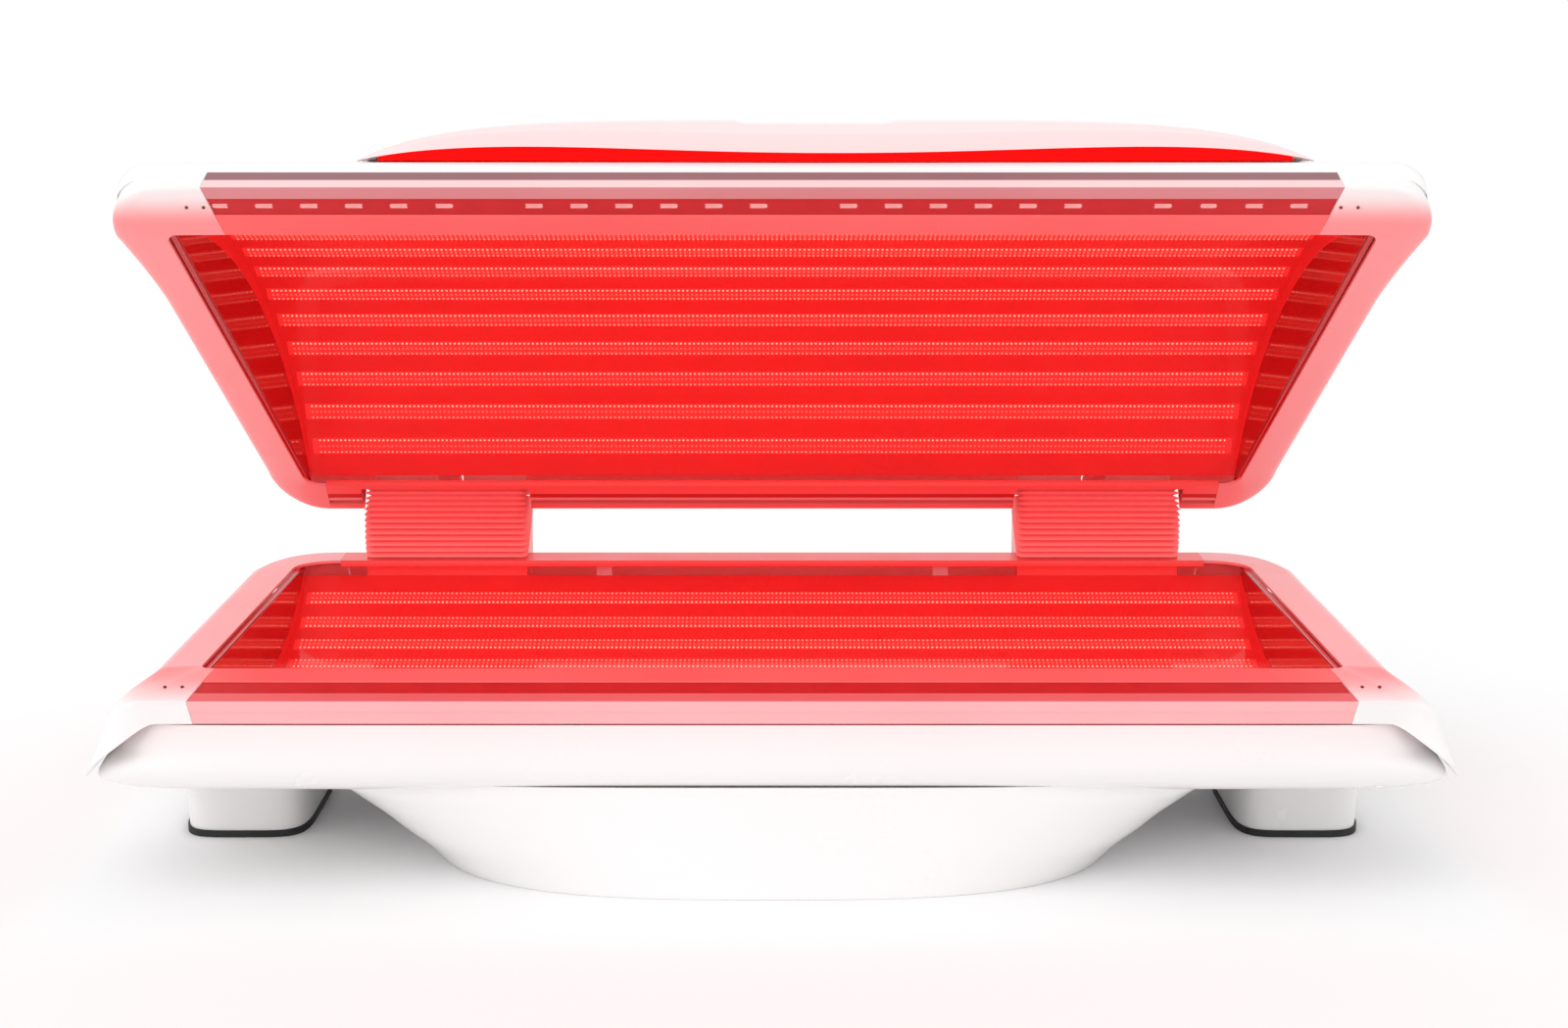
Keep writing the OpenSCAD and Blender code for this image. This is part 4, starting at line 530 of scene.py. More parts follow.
for side, word in ((-1, "left"), (1, "right")):
    shape = between(*sided(coverShape("bed", bed["wall"]), side))
    # painted red light: pink along the rim edge, fading as the cover drops away from it
    drop = bed["rim"] - shape[0][:, 2]
    addPiece("endCover" + word.capitalize(), "base", shape, whiteCover, ["end_cover_" + word],
             tone=1 - eased((drop - 6) / 36))
    shape = between(*sided(coverShape("canopy", canopy["wall"]), side))
    # painted red light along the opening edge, fading upwards, faint at the front nose
    rise = shape[0][:, 2] - canopy["shut"]
    glow = (1 - eased((rise - 12) / 26)) * mixed(0.1, 1, eased((shape[0][:, 1] + 662) / 74))
    addPiece("canopyEndRail" + word.capitalize(), "canopy", (opened(shape[0]), shape[1]), whiteCover,
             ["canopy_end_rail_" + word], tone=glow)
print("end covers and end rails made")

# Front rims with their perforated strips

frontRim = dict(stations=48, stripFrom=41, stripTo=73, stripDeep=3, dotPitch=3.5, dotRadius=1.15, dotHeight=0.6,
                clusterPitch=73.6, clusterStart=-831.6, clusterWide=28, clusterHigh=10)


def noseBasis(side):
    u = np.array([-bed["noseReach"], side * bed["noseDrop"]]) / math.hypot(bed["noseReach"], bed["noseDrop"])
    return u, np.array([side * u[1], -side * u[0]])


def rimOutline(side):
    # the rim's section, out from the opening edge: nose face, sunk strip, nose edge, two chin bands, and back inside
    u, n = noseBasis(side)
    nose = lambda s, t: s * u + t * n
    reach, drop, back, deep = bed["noseReach"], side * bed["noseDrop"], bed["chinBack"], side * bed["chinDepth"]
    a, b, t = frontRim["stripFrom"], frontRim["stripTo"], frontRim["stripDeep"]
    chin = lambda share, inward: np.array([mixed(-reach, back - reach, share) + inward, mixed(drop, deep, share)])
    points = [[0, 0], nose(1.2, -0.0), nose(a - 0.8, 0), nose(a, 0.7), nose(a, t), nose(b, t), nose(b, 0.7),
              nose(b + 0.8, 0), nose(95, 0), nose(96.9, 0.35), chin(0.03, 0), chin(0.46, 0), chin(0.47, 1.6),
              chin(0.53, 1.9), chin(0.98, 1.2), chin(1, 1.8), chin(1, 4), [5.2 - reach, side * 36], nose(b, 7),
              nose(a, 7), nose(4, 4), [0, side * 12]]
    bands = [0, 0, 0, 1, 1, 1, 1, 2, 2, 3, 3, 4, 4, 4, 4, 5, 5, 5, 5, 5, 5, 5]
    return np.array(points, float), np.array(bands)


def seamHalf(seam, y):
    return seam - 0.3 + (bed["front"] - y) * bed["seamSlant"] / bed["noseReach"]


def rimShape(side, rimZ, seam):
    outline, bands = rimOutline(side)
    y, z = outline[:, 0] + bed["front"], outline[:, 1] + rimZ
    half = seamHalf(seam, y)
    across = np.linspace(-1, 1, frontRim["stations"])[:, None]
    sections = np.stack([across * half, np.broadcast_to(y, (len(across), len(y))),
                         np.broadcast_to(z, (len(across), len(y)))], 2)
    points, faces = prism(sections)
    return points, faces, list(np.tile(bands, frontRim["stations"] - 1)) + [5, 5]


def dottedStrip(side, rimZ, seam, clusters):
    # the sunk strip: a thin plate, and rows of low six-sided points on it in a honeycomb, with painted light in the
    # clusters, where the points glow for the lamps behind the strip
    r = frontRim
    u, n = noseBasis(side)
    near, far, low = r["stripFrom"] + 0.3, r["stripTo"] - 0.3, r["stripDeep"] - 0.1
    plate = np.array([near * u + low * n, near * u + (low - 1.4) * n, far * u + (low - 1.4) * n, far * u + low * n])
    y, z = plate[:, 0] + bed["front"], plate[:, 1] + rimZ
    across = np.linspace(-1, 1, 24)[:, None]
    sections = np.stack([across * (seamHalf(seam, y) - 1.5), np.broadcast_to(y, (24, 4)),
                         np.broadcast_to(z, (24, 4))], 2)
    points, faces = prism(sections)
    pitch = r["dotPitch"]
    rows = np.arange(near + 1.8, far - 1.4, pitch * 0.866)
    s, k = np.meshgrid(rows, np.arange(-282, 283), indexing="ij")
    x = (k + 0.5 * (np.arange(len(rows)) % 2)[:, None]) * pitch
    keep = np.abs(x) < seamHalf(seam, bed["front"] + s * u[0]) - 4
    s, x = s[keep], x[keep]
    nearest = np.round((x - r["clusterStart"]) / r["clusterPitch"])
    offset = x - r["clusterStart"] - nearest * r["clusterPitch"]
    mid = (r["stripFrom"] + r["stripTo"]) / 2
    lit = ((np.abs(offset) < r["clusterWide"] / 2) & (np.abs(s - mid) < r["clusterHigh"] / 2 - 0.4)
           & (np.mod(nearest, 7) != 5)) * clusters
    angle = np.radians(np.arange(6) * 60)
    ring = np.stack([np.cos(angle), np.sin(angle)], 1) * r["dotRadius"]
    centre = np.stack([x, bed["front"] + s * u[0] + (low - 1.4) * n[0], rimZ + s * u[1] + (low - 1.4) * n[1]], 1)
    rim = (centre[:, None, :] + ring[None, :, :1] * np.array([1, 0, 0])
           + ring[None, :, 1:] * np.array([0, u[0], u[1]]))
    top = centre - r["dotHeight"] * np.array([0, n[0], n[1]])
    dots = np.concatenate([rim, top[:, None]], 1).reshape(-1, 3)
    start = 7 * np.arange(len(x))[:, None, None]
    j = np.arange(6)
    sides = np.stack([j, (j + 1) % 6, np.full(6, 6)], 1)[None] + start
    under = np.array([[0, 2, 1], [0, 3, 2], [0, 4, 3], [0, 5, 4]])[None] + start
    extra = np.concatenate([sides, under], 1).reshape(-1, 3)
    if np.einsum("ij,ij->i", dots[extra[:, 0]], np.cross(dots[extra[:, 1]], dots[extra[:, 2]])).sum() < 0:
        extra = extra[:, ::-1]
    if enclosed(points, faces) < 0:
        faces = [list(f)[::-1] for f in faces]
    glow = np.concatenate([np.zeros(len(points)), np.repeat(lit, 7)])
    paintOf = [0] * len(faces) + [1] * len(extra)
    return (np.concatenate([points, dots]), faces + (extra + len(points)).tolist()), glow, paintOf


points, faces, bands = rimShape(-1, bed["rim"], bed["seam"])
addPiece("frontRim", "base", (points, faces), [redLightCoral, stripRed, redLightMid, redLightPale, redLightPale, whiteCover],
         ["front_rim_profile"], paintOf=bands, crease=24)
shape, glow, paintOf = dottedStrip(-1, bed["rim"], bed["seam"], 0)
addPiece("frontRimStrip", "base", shape, [stripRed, stripDots], ["front_rim_mesh"], tone=glow,
         paintOf=paintOf)
points, faces, bands = rimShape(1, canopy["shut"], canopy["seam"])
addPiece("canopyFrontRim", "canopy", (opened(points), faces),
         [redLightCoral, stripRed, redLightDusky, redLightBlush, grooveShade, whiteCover], ["canopy_front_profile"],
         paintOf=bands, crease=24)
shape, glow, paintOf = dottedStrip(1, canopy["shut"], canopy["seam"], 1)
addPiece("canopyFrontStrip", "canopy", (opened(shape[0]), shape[1]), [stripRed, stripDots],
         ["canopy_front_mesh"], tone=glow, paintOf=paintOf)

# Screw heads at the front corners
screws = dict(radius=2.8, proud=3.4, deep=2, across=(41, 69), canopyShift=-14, along=57.2, points=16)


def screwHeads(side, rimZ, seam):
    # low round heads on the nose of both corners: rings square to the nose that close into a dome
    u, n = noseBasis(side)
    turn = np.linspace(0, 2 * np.pi, screws["points"], endpoint=False)
    allPoints, allFaces = [], []
    shift = screws["canopyShift"] if side > 0 else 0
    for x in [end * (seam + shift + out) for end in (-1, 1) for out in screws["across"]]:
        rings = []
        for wide, t in ((1, screws["deep"]), (1, -0.6 * screws["proud"]), (0.8, -0.9 * screws["proud"]),
                        (0.35, -screws["proud"])):
            s = screws["along"] + screws["radius"] * wide * np.sin(turn)
            rings.append(np.stack([x + screws["radius"] * wide * np.cos(turn), bed["front"] + s * u[0] + t * n[0],
                                   rimZ + s * u[1] + t * n[1]], 1))
        points, faces = prism(np.array(rings))
        allFaces += [[i + len(points) * len(allPoints) for i in f] for f in faces]
        allPoints.append(points)
    return np.concatenate(allPoints), allFaces


addPiece("bedScrews", "base", screwHeads(-1, bed["rim"], bed["seam"]), screwRed, ["cap_screws"])
points, faces = screwHeads(1, canopy["shut"], canopy["seam"])
addPiece("canopyScrews", "canopy", (opened(points), faces), screwRed, ["canopy_screws"])
print("front rims made")

# Tubs: clear sheets, end panels and lamp lenses

bedTub = dict(side=-1, edge=379, radius=804.6, sag=130, front=929, rear=919)
canopyTub = dict(side=1, edge=411, radius=715.9, sag=150, front=994, rear=902)
tub = dict(opening=885, middleY=-127.5, halfChord=438.5, wall=4, boards=12, gap=32, lensRows=(-13, 0, 13),
           rowPower=(1.0, 0.25, 0.55), pitch=8.2, lensRadius=2.2, lensHeight=2.2)


def tubHalf(t, y):
    return mixed(t["front"], t["rear"], (y - bed["front"]) / tub["opening"])


def sheetShape(t):
    # an arc about a line above the bed or below the canopy, as long as the tub is at each place
    angle = np.radians(np.linspace(-1, 1, 73)) * math.degrees(math.asin(tub["halfChord"] / t["radius"]))
    surfaces = []
    for r in (t["radius"] + 0.2, t["radius"] + tub["wall"] - 0.2):
        y = tub["middleY"] + r * np.sin(angle)
        z = t["edge"] + t["side"] * (t["sag"] - t["radius"] + r * np.cos(angle))
        half = tubHalf(t, y) - 5.3
        across = np.linspace(-1, 1, 33)[:, None]
        surfaces.append(np.stack([across * half, np.broadcast_to(y, (33, 73)), np.broadcast_to(z, (33, 73))], 2))
    return between(*surfaces)


def panelShape(t, side):
    # the end wall of the tub over the clear sheet: a small flange under the lip, then down to the arc
    y = tub["middleY"] + np.linspace(-1, 1, 61) * (tub["halfChord"] - 1)
    arc = np.sqrt(t["radius"] ** 2 - (y - tub["middleY"]) ** 2) - 0.6
    arc = t["edge"] + t["side"] * (t["sag"] - t["radius"] + arc)
    down = np.concatenate([[0], np.linspace(0, 1, 9)])[:, None]
    y = np.broadcast_to(y, (10, 61))
    surfaces = []
    for back, under in ((5.2, 0.2), (7.0, 2.0)):
        z = mixed(t["edge"] + t["side"] * under, arc[None], down)
        x = tubHalf(t, y) - back
        x[0] = tubHalf(t, y[0]) + 4.5
        surfaces.append(np.stack([side * x, y, z], 2))
    return between(*surfaces)


def lensShape(t):
    # three rows of small domes on each lamp board, each row with its own power
    s = tub
    r = t["radius"] + s["gap"] - 2.1
    step = 2 * (math.degrees(math.asin(s["halfChord"] / t["radius"])) - 2) / s["boards"]
    ring = np.radians(np.arange(6) * 60 + 30)
    flat = np.stack([np.cos(ring), np.sin(ring)], 1)
    dome = np.concatenate([np.c_[flat * s["lensRadius"], np.zeros(6)],
                           np.c_[flat * s["lensRadius"] * 0.72, np.full(6, s["lensHeight"] * 0.7)],
                           [[0, 0, s["lensHeight"]]]])
    j = np.arange(6)
    faces = np.concatenate([np.stack([j, (j + 1) % 6, (j + 1) % 6 + 6], 1), np.stack([j, (j + 1) % 6 + 6, j + 6], 1),
                            np.stack([j + 6, (j + 1) % 6 + 6, np.full(6, 12)], 1),
                            [[0, 2, 1], [0, 3, 2], [0, 4, 3], [0, 5, 4]]])
    allPoints, glow = [], []
    for i in range(s["boards"]):
        a = math.radians(step * (i - (s["boards"] - 1) / 2))
        half = mixed(t["front"], t["rear"], 0.5 + math.sin(a) * r / s["opening"]) - 22
        for k, across in enumerate(s["lensRows"]):
            x = np.arange(-math.floor(half / s["pitch"]), math.floor(half / s["pitch"]) + 1) * s["pitch"]
            n = len(x)
            local = np.broadcast_to(dome, (n, 13, 3)).copy()
            local[..., 0] += x[:, None]
            y = across + local[..., 1]
            z = r - local[..., 2] - 0.1
            c, sine = math.cos(a), math.sin(a)
            turned = np.stack([local[..., 0], y * c + z * sine, z * c - y * sine], 2)
            turned[..., 1] += s["middleY"]
            turned[..., 2] = t["edge"] + t["side"] * (t["sag"] - t["radius"] + turned[..., 2])
            allPoints.append(turned.reshape(-1, 3))
            count = np.arange(n)
            flicker = 0.5 + 0.5 * np.sin(count * 12.9898 + i * 78.233 + k * 37.7) * np.sin(count * 4.137)
            power = s["rowPower"][k] * mixed(0.8, 1.0, flicker)
            glow.append(np.repeat(power, 13))
    points, glow = np.concatenate(allPoints), np.concatenate(glow)
    faces = (faces[None] + 13 * np.arange(len(points) // 13)[:, None, None]).reshape(-1, 3)
    return (points, faces), glow


for name, body, t, place in (("bed", "base", bedTub, lambda p: p), ("canopy", "canopy", canopyTub, opened)):
    points, faces = sheetShape(t)
    addPiece(name + "Sheet", body, (place(points), faces), clearSheetGlow, [name + "_acrylic"])
    for side, word in ((-1, "Left"), (1, "Right")):
        points, faces = panelShape(t, side)
        addPiece(name + "EndPanel" + word, body, (place(points), faces), endPanelShade)
    (points, faces), glow = lensShape(t)
    addPiece(name + "Lenses", body, (place(points), faces), lampLens, tone=glow, crease=80)
print("tubs made")

# Canopy shell

shell = dict(front=-636, rear=407, radius=845.5, rise=180, top=503, low=441.3, half=1075, inset=4, crown=0.06,
             endRound=46, endDrop=0.55, endBack=24, rearCut=150, rearCutFrom=0.87, steps=40)


def shellHeight(y):
    s = shell
    middle = (s["front"] + s["rear"]) / 2
    return s["top"] + np.sqrt(s["radius"] ** 2 - (y - middle) ** 2) - s["radius"] + s["rise"]


def railHalf(y):
    # half the width over the end rails: a rounded front corner, a flared side, and level behind them
    s, power = endRail, endRail["cornerPower"]
    (xf, rf), (xr, rr) = s["front"], s["rear"]
    start = bed["front"] + rf
    t = np.clip((y - start) / (bed["rear"] - rr - start), 0, 1)
    share = np.clip((start - y) / (bed["noseReach"] + rf), 0, 1)
    corner = xf - rf + (s["reach"] + s["flare"] + rf) * (1 - share ** power) ** (1 / power)
    return np.where(y < start, corner, mixed(xf, xr, t) + s["reach"] + flareOf(t))


def shellSurface(wall):
    # sections across the canopy: rear edge, arched top, front edge and the slope back under it. The crown falls a
    # little towards the ends, the ends round off, and the rear corners are cut back.
    s = shell
    turn = np.radians(np.linspace(90, 0, 12))
    far = (s["half"] - s["endRound"] * (1 - np.sin(turn))) / s["half"]
    right = np.concatenate([far, np.linspace(far[-1], 0, 28)[1:]])
    shares = np.concatenate([-right, right[::-1][1:]])
    rows = []
    for share in shares:
        f = abs(share)
        e = max(0, f * s["half"] - (s["half"] - s["endRound"])) / s["endRound"]
        off = 1 - math.sqrt(max(0, 1 - min(1, e) ** 2))
        k = 1 - s["endDrop"] * off
        cut = max(0, (f - s["rearCutFrom"]) / (1 - s["rearCutFrom"])) ** 2
        back = s["rear"] - wall - s["rearCut"] * cut * (1 - wall / (2 * s["rearCut"]))
        front = s["front"] + wall + s["endBack"] * off
        y = np.linspace(back, front + 8, s["steps"] + 1)
        arch = mixed(shellHeight(y), s["top"], s["crown"] * f * f) - wall - s["low"]
        y = np.concatenate([[back], y, [front + 3, front, front, front + 50]])
        up = np.concatenate([[wall * 0.5], arch, [s["top"] - 2 - wall - s["low"], s["top"] - 10 - wall - s["low"],
                                                   34 + wall / 2, wall]])
        x = share * (railHalf(y) - s["inset"] - wall)
        rows.append(np.stack([x, y, s["low"] + up * k], 1))
    rows = np.array(rows)
    ends = [rows[0].copy(), rows[-1].copy()]
    for end in ends:
        end[:, 2] = s["low"] + wall * 0.3
    return np.concatenate([[ends[0]], rows, [ends[1]]])


outer, inner = shellSurface(0), shellSurface(canopy["wall"])
shape = between(outer, inner)
topShell = addPiece("topShell", "canopy", shape, whiteCover, ["top_shell"],
                    tone=np.zeros(len(shape[0])), crease=30)
notches = []
for side in (-1, 1):
    low, high = sorted((side * 471, side * 805))
    notches.append([[low, 395, 400], [high, 419, 453]])
    low, high = sorted((side * 487, side * 789))
    notches.append([[low, 395, 425], [high, 419, 501]])
for notch in notches:  # the blocks of one side overlap, so each is a cut of its own
    carve(topShell, [notch], crease=30)
coords = np.empty(len(topShell.data.vertices) * 3, np.float32)
topShell.data.vertices.foreach_get("co", coords)
topShell.data.vertices.foreach_set("co", (opened(coords.reshape(-1, 3) * 1000) / 1000).ravel().astype(np.float32))
topShell.data.update()
print("canopy shell made")

# Hood and its light

hood = dict(left=690, right=900, depth=430, height=72, tilt=38, lipLow=30, lipHigh=56, lipDip=15, lipShare=0.13,
            recess=5, recessX=(-66, 208), wall=5, stations=140, points=44)
hoodShares = [0.01, 0.13, 0.3, 0.52, 0.76, 0.92, 1]
hoodRises = [0, 0.94, 1, 0.78, 0.4, 0.13, 0.02]


def onShell(x, back, up):
    # a place measured back from the front edge of the shell along a tilted line, and up square to it
    c, s = math.cos(math.radians(hood["tilt"])), math.sin(math.radians(hood["tilt"]))
    return np.stack([x, shell["front"] + back * c - up * s, shell["top"] + back * s + up * c], -1)


def shellFall(back):
    return np.sqrt(shell["radius"] ** 2 - back ** 2) - shell["radius"]


def swell(t):
    return np.maximum(0, 1 - np.abs(2 * t - 1) ** 5) ** 0.8


def lipDip(t):
    return np.cos(np.radians(np.minimum(90, np.abs(t - 0.5) * 200))) ** 2 * hood["lipDip"]


def lipBack(t):
    return 34 - 34 * np.maximum(0, np.sin(np.pi * t)) ** 0.7


def hoodSurface(wall):
    # across the shell the hood swells from nothing to full height; from front to back it has a lip, a crest and
    # a tail
    h = hood
    t = 0.5 - 0.5 * np.cos(np.linspace(0, np.pi, h["stations"]))
    t = t[:, None]
    x = mixed(-h["left"] + wall, h["right"] - wall, t)
    high, dip = swell(t), lipDip(t)
    start, reach = lipBack(t) + wall, h["depth"] * mixed(0.6, 1, swell(t)) - 2 * wall
    share = 0.01 + 0.99 * np.linspace(0, 1, h["points"])[None, :] ** 1.5
    crest = gradual(hoodShares, hoodRises, share.ravel())[None, :]
    lip = np.clip((h["lipShare"] - share) / 0.12, 0, 1)
    atLip = mixed(h["height"] * 0.94 * high, h["lipHigh"] * high - dip * 0.7 * high, lip ** 1.25)
    up = np.where(share < h["lipShare"], atLip, h["height"] * crest * high)
    sunk = eased((x - h["recessX"][0]) / 18) * eased((h["recessX"][1] - x) / 18)
    sunk = sunk * eased((share - 0.06) / 0.05) * eased((0.62 - share) / 0.2)
    up = np.maximum(1, up - wall - h["recess"] * sunk)
    back = mixed(start, reach, share)
    edge = (h["lipLow"] - dip) * high
    back = np.concatenate([start, back], 1)
    up = np.concatenate([edge, up], 1)
    return onShell(np.broadcast_to(x, back.shape), back, shellFall(back) + 1 + up)


shape = between(hoodSurface(0), hoodSurface(hood["wall"]))
# painted red light: pale pink on the lip, faint over the rest
shareAt = np.concatenate([[0], 0.01 + 0.99 * np.linspace(0, 1, hood["points"]) ** 1.5])
glow = np.tile(0.05 + 0.25 * (1 - eased((shareAt - 0.09) / 0.05)), 2 * hood["stations"])
addPiece("hoodCover", "canopy", (opened(shape[0]), shape[1]), whiteCover, ["hood"], tone=glow)

t = 0.5 - 0.5 * np.cos(np.linspace(0.09 * np.pi, 0.91 * np.pi, 70))
x = mixed(-hood["left"] + hood["wall"], hood["right"] - hood["wall"], t)
back = lipBack(t) + hood["wall"] + 1.5
high = swell(t)
top = shellFall(back) + 1 + (hood["lipLow"] - lipDip(t)) * high + np.maximum(0, 4 * high - 2)
strip = np.stack([onShell(x, back, shellFall(back) + 2), onShell(x, back + 5, shellFall(back) + 2),
                  onShell(x, back + 5, top), onShell(x, back, top)], 1)
points, faces = prism(strip)
addPiece("hoodStrip", "canopy", (opened(points), faces), hoodStripPaint, ["hood_light"])
print("hood made")

# Bellows

bellows = dict(low=-29.2, high=16.87, pleats=13, perPleat=10, x0=485, x1=791, deep=6, wall=2.5, corner=12, rear=47.5)


def bellowsRings(inset, angle, share):
    # a rounded rectangle in the plane through the hinge line at one angle
    b = bellows
    front = mixed(194.7, 173.0, share) - inset
    rear = b["rear"] + inset
    x0, x1 = b["x0"] + inset, b["x1"] - inset
    middle, halfX = (x0 + x1) / 2, (x1 - x0) / 2
    centre, halfR = (front + rear) / 2, (front - rear) / 2
    c = b["corner"]
    quarter = np.radians(np.linspace(0, 90, 7))
    loop = []
    for k, (sx, sr) in enumerate(((1, 1), (-1, 1), (-1, -1), (1, -1))):
        turn = quarter if k % 2 == 0 else quarter[::-1]
        loop += [[sx, sr, math.cos(q), math.sin(q)] for q in turn]
    loop = np.array(loop)
    x = middle[:, None] + loop[:, 0] * (halfX[:, None] - c + c * loop[:, 2])
    r = centre[:, None] + loop[:, 1] * (halfR[:, None] - c + c * loop[:, 3])
    a = np.radians(angle)[:, None]
    return np.stack([x, canopy["hingeY"] - r * np.cos(a), canopy["hingeZ"] + r * np.sin(a)], 2)


for side, word in ((-1, "left"), (1, "right")):
    steps = np.linspace(0, bellows["pleats"], bellows["pleats"] * bellows["perPleat"] + 1)
    share = steps / bellows["pleats"]
    angle = mixed(bellows["low"], bellows["high"], share)
    fold = 0.8 * (2 / np.pi) * np.arcsin(np.cos(2 * np.pi * steps)) + 0.2 * np.cos(2 * np.pi * steps)
    slack = 0.35 * np.sin(steps * 2.1 + side) * np.sin(np.pi * share)
    inset = bellows["deep"] * fold + np.abs(slack)
    outer, inner = sided([bellowsRings(inset + w, angle, share) for w in (0, bellows["wall"])], side)
    shape = between(outer, inner, True)
    # painted light and shade: the ridges lighter, the folds darker
    glow = np.tile(np.repeat(0.5 - 0.5 * fold, outer.shape[1]), 2)
    piece = addPiece("bellows" + word.capitalize(), "base", shape, cloth, ["bellows_" + word], tone=glow,
                     crease=70, ride=False)
    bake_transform(piece)
    # a thin dark red strip at the foot of each bellows: a painted shadow gap
    low, high = sorted((side * 500, side * 776))
    loop = np.array([[331, 388.4], [335, 388.4], [335, 391], [331, 391]])
    slot = np.stack([np.c_[np.full(4, x), loop] for x in (low, high)])
    addPiece("bellowsShadowStrip" + word.capitalize(), "base", prism(slot), stripRed)
print("bellows made")

# Finishes of the parts that keep their own shape

# Rear profile of the canopy: bands of painted red light, with two dark bands of painted shade; they run along it,
# so they are read across the closed canopy
rearLightBands = finish("rearLightBands", (255, 104, 104), (255, 110, 110), patch=3, rough=(0.3, 0.38))
tree = rearLightBands.node_tree
shader = tree.nodes["Principled BSDF"]
turn = tree.nodes.new("ShaderNodeMapping")
openBy = math.radians(canopy["openBy"])
turn.inputs["Rotation"].default_value = (openBy, 0, 0)
turn.inputs["Location"].default_value = (0, 0.5 - 0.5 * math.cos(openBy) + 0.482 * math.sin(openBy),
                                         0.482 - 0.482 * math.cos(openBy) - 0.5 * math.sin(openBy))
joined(tree, tree.nodes["Texture Coordinate"].outputs["Object"], turn.inputs["Vector"])
ramp = tree.nodes.new("ShaderNodeValToRGB")
ramp.color_ramp.interpolation = "CONSTANT"
stops = [(0.0, shade(255, 104, 104)), (28.5, shade(206, 34, 40)), (43.5, shade(255, 150, 150)),
         (50.5, shade(150, 8, 14)), (63.5, shade(255, 120, 120)), (82.0, shade(255, 190, 190))]
while len(ramp.color_ramp.elements) < len(stops):
    ramp.color_ramp.elements.new(0.5)
for element, (place, colour) in zip(ramp.color_ramp.elements, stops):
    element.position, element.color = place / 90, colour
joined(tree, ranged(tree, axisOf(tree, turn.outputs["Vector"], "Y"), 0, 1, 0.315, 0.405), ramp.inputs["Fac"])
joined(tree, ramp.outputs["Color"], shader.inputs["Base Color"])

# Arm housings: coral painted red light where they close the top of the bellows, white behind that
housingRedLight = finish("housingRedLight", (252, 249, 249), (248, 246, 246), patch=1.5, rough=(0.22, 0.3))
tree = housingRedLight.node_tree
shader = tree.nodes["Principled BSDF"]
behind = ranged(tree, axisOf(tree, tree.nodes["Texture Coordinate"].outputs["Object"], "Y"), 0, 1, 0.404, 0.406)
joined(tree, blended(tree, behind, shade(255, 110, 110), shade(251, 248, 248)), shader.inputs["Base Color"])

kept = {
    whiteCover: ["rear_deck", "belly_pan"],
    housingRedLight: ["arm_housings"],
    # painted red light on the rear rim profile and the bellows base frames
    redLightCoral: ["rear_rim_profile", "bellows_base_frames"],
    rearLightBands: ["canopy_rear_profile"],
    padRubber: ["foot_pads"],
    trayRedGlow: ["bed_tray", "canopy_tray"],
    lampBoard: ["bed_lamp_boards", "canopy_lamp_boards"],
    framePaint: ["frame_front_rail", "frame_rear_rail", "frame_cross_members", "frame_uprights", "frame_posts",
                 "equipment_tray", "hinge_post_left", "hinge_post_right", "canopy_ribs", "canopy_arm_left",
                 "canopy_arm_right"],
    supplyMetal: ["power_supplies"],
    boardGreen: ["control_board"],
    blackPlastic: ["base_fan_frames", "base_fan_rotor_left", "base_fan_rotor_right", "canopy_fan_frames",
                   "canopy_fan_rotor_left", "canopy_fan_rotor_right", "mains_inlet"],
    rockerGloss: ["mains_rocker"],
    turnedSteel: ["hinge_pins"],
    springPaint: ["gas_cylinder_left", "gas_cylinder_right"],
    chromeRod: ["gas_rod_left", "gas_rod_right"],
}
for paint, names in kept.items():
    for name in names:
        for place in nodes[name].material_slots:
            place.material = paint
print("kept parts finished")

# Studio

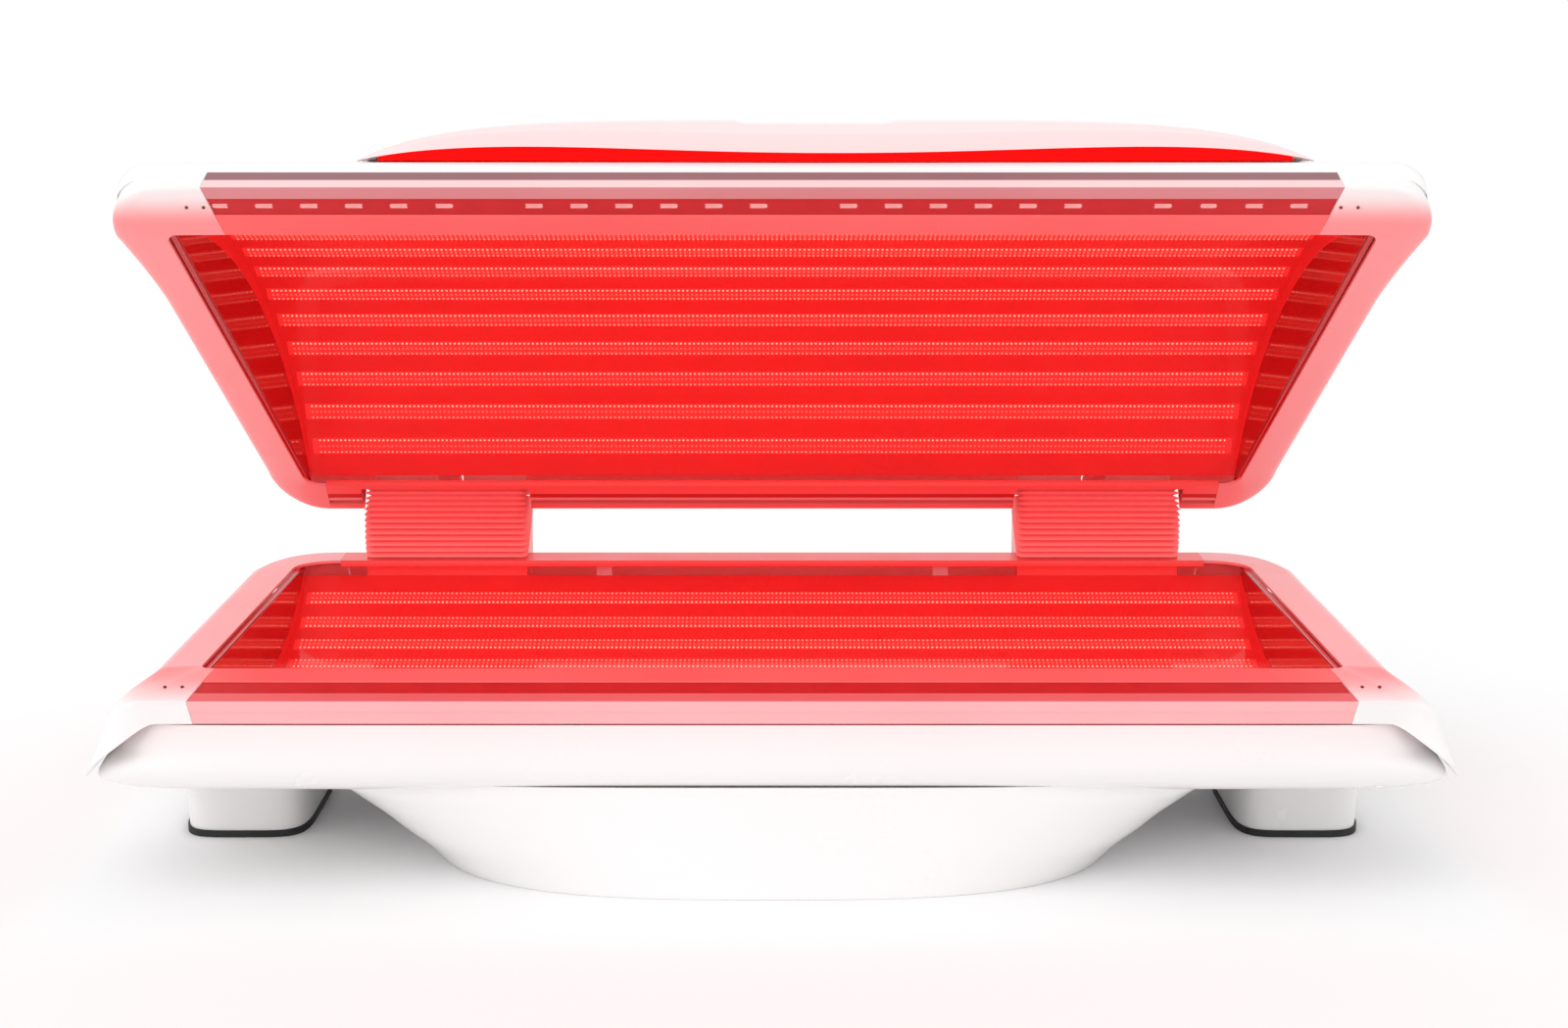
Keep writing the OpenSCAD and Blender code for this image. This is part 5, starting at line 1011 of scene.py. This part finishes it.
studio = dict(world=0.9, sun=0.7, sunWide=55, sunTurn=(42, 0, -28), floorHalf=60, floorUnder=0.0005, focal=61.65,
              shiftX=0.0075, place=(0, -4.835, 1.431), tilt=79.51)
scene = bpy.context.scene
scene.view_settings.view_transform = "Standard"
world = bpy.data.worlds.new("studio")
world.use_nodes = True
scene.world = world
tree = world.node_tree
back = tree.nodes["Background"]
seen = tree.nodes.new("ShaderNodeLightPath")
either = tree.nodes.new("ShaderNodeMath")
either.operation = "MAXIMUM"
joined(tree, seen.outputs["Is Camera Ray"], either.inputs[0])
joined(tree, seen.outputs["Is Transmission Ray"], either.inputs[1])
back.inputs["Color"].default_value = (1, 1, 1, 1)
joined(tree, ranged(tree, either.outputs[0], studio["world"], 1.0, 0, 1), back.inputs["Strength"])

half = studio["floorHalf"]
floorMesh = bpy.data.meshes.new("floor")
floorMesh.from_pydata([(x * half, y * half, -studio["floorUnder"]) for x, y in ((-1, -1), (1, -1), (1, 1), (-1, 1))],
                      [], [(0, 1, 2, 3)])
floor = bpy.data.objects.new("floor", floorMesh)
scene.collection.objects.link(floor)
floorPaint = bpy.data.materials.new("floorPaint")
floorPaint.use_nodes = True
floorShader = floorPaint.node_tree.nodes["Principled BSDF"]
floorShader.inputs["Base Color"].default_value = (0.96, 0.96, 0.96, 1)
floorShader.inputs["Roughness"].default_value = 0.9
floorShader.inputs["Specular IOR Level"].default_value = 0.1
floorMesh.materials.append(floorPaint)

sun = bpy.data.lights.new("keyLight", "SUN")
sun.energy, sun.angle = studio["sun"], math.radians(studio["sunWide"])
holder = bpy.data.objects.new("keyLight", sun)
holder.rotation_euler = [math.radians(v) for v in studio["sunTurn"]]
scene.collection.objects.link(holder)

lens = bpy.data.cameras.new("camera")
lens.sensor_width, lens.lens, lens.shift_x = 36, studio["focal"], studio["shiftX"]
camera = bpy.data.objects.new("camera", lens)
camera.location = studio["place"]
camera.rotation_euler = (math.radians(studio["tilt"]), 0, 0)
scene.collection.objects.link(camera)
scene.camera = camera
print("studio ready")
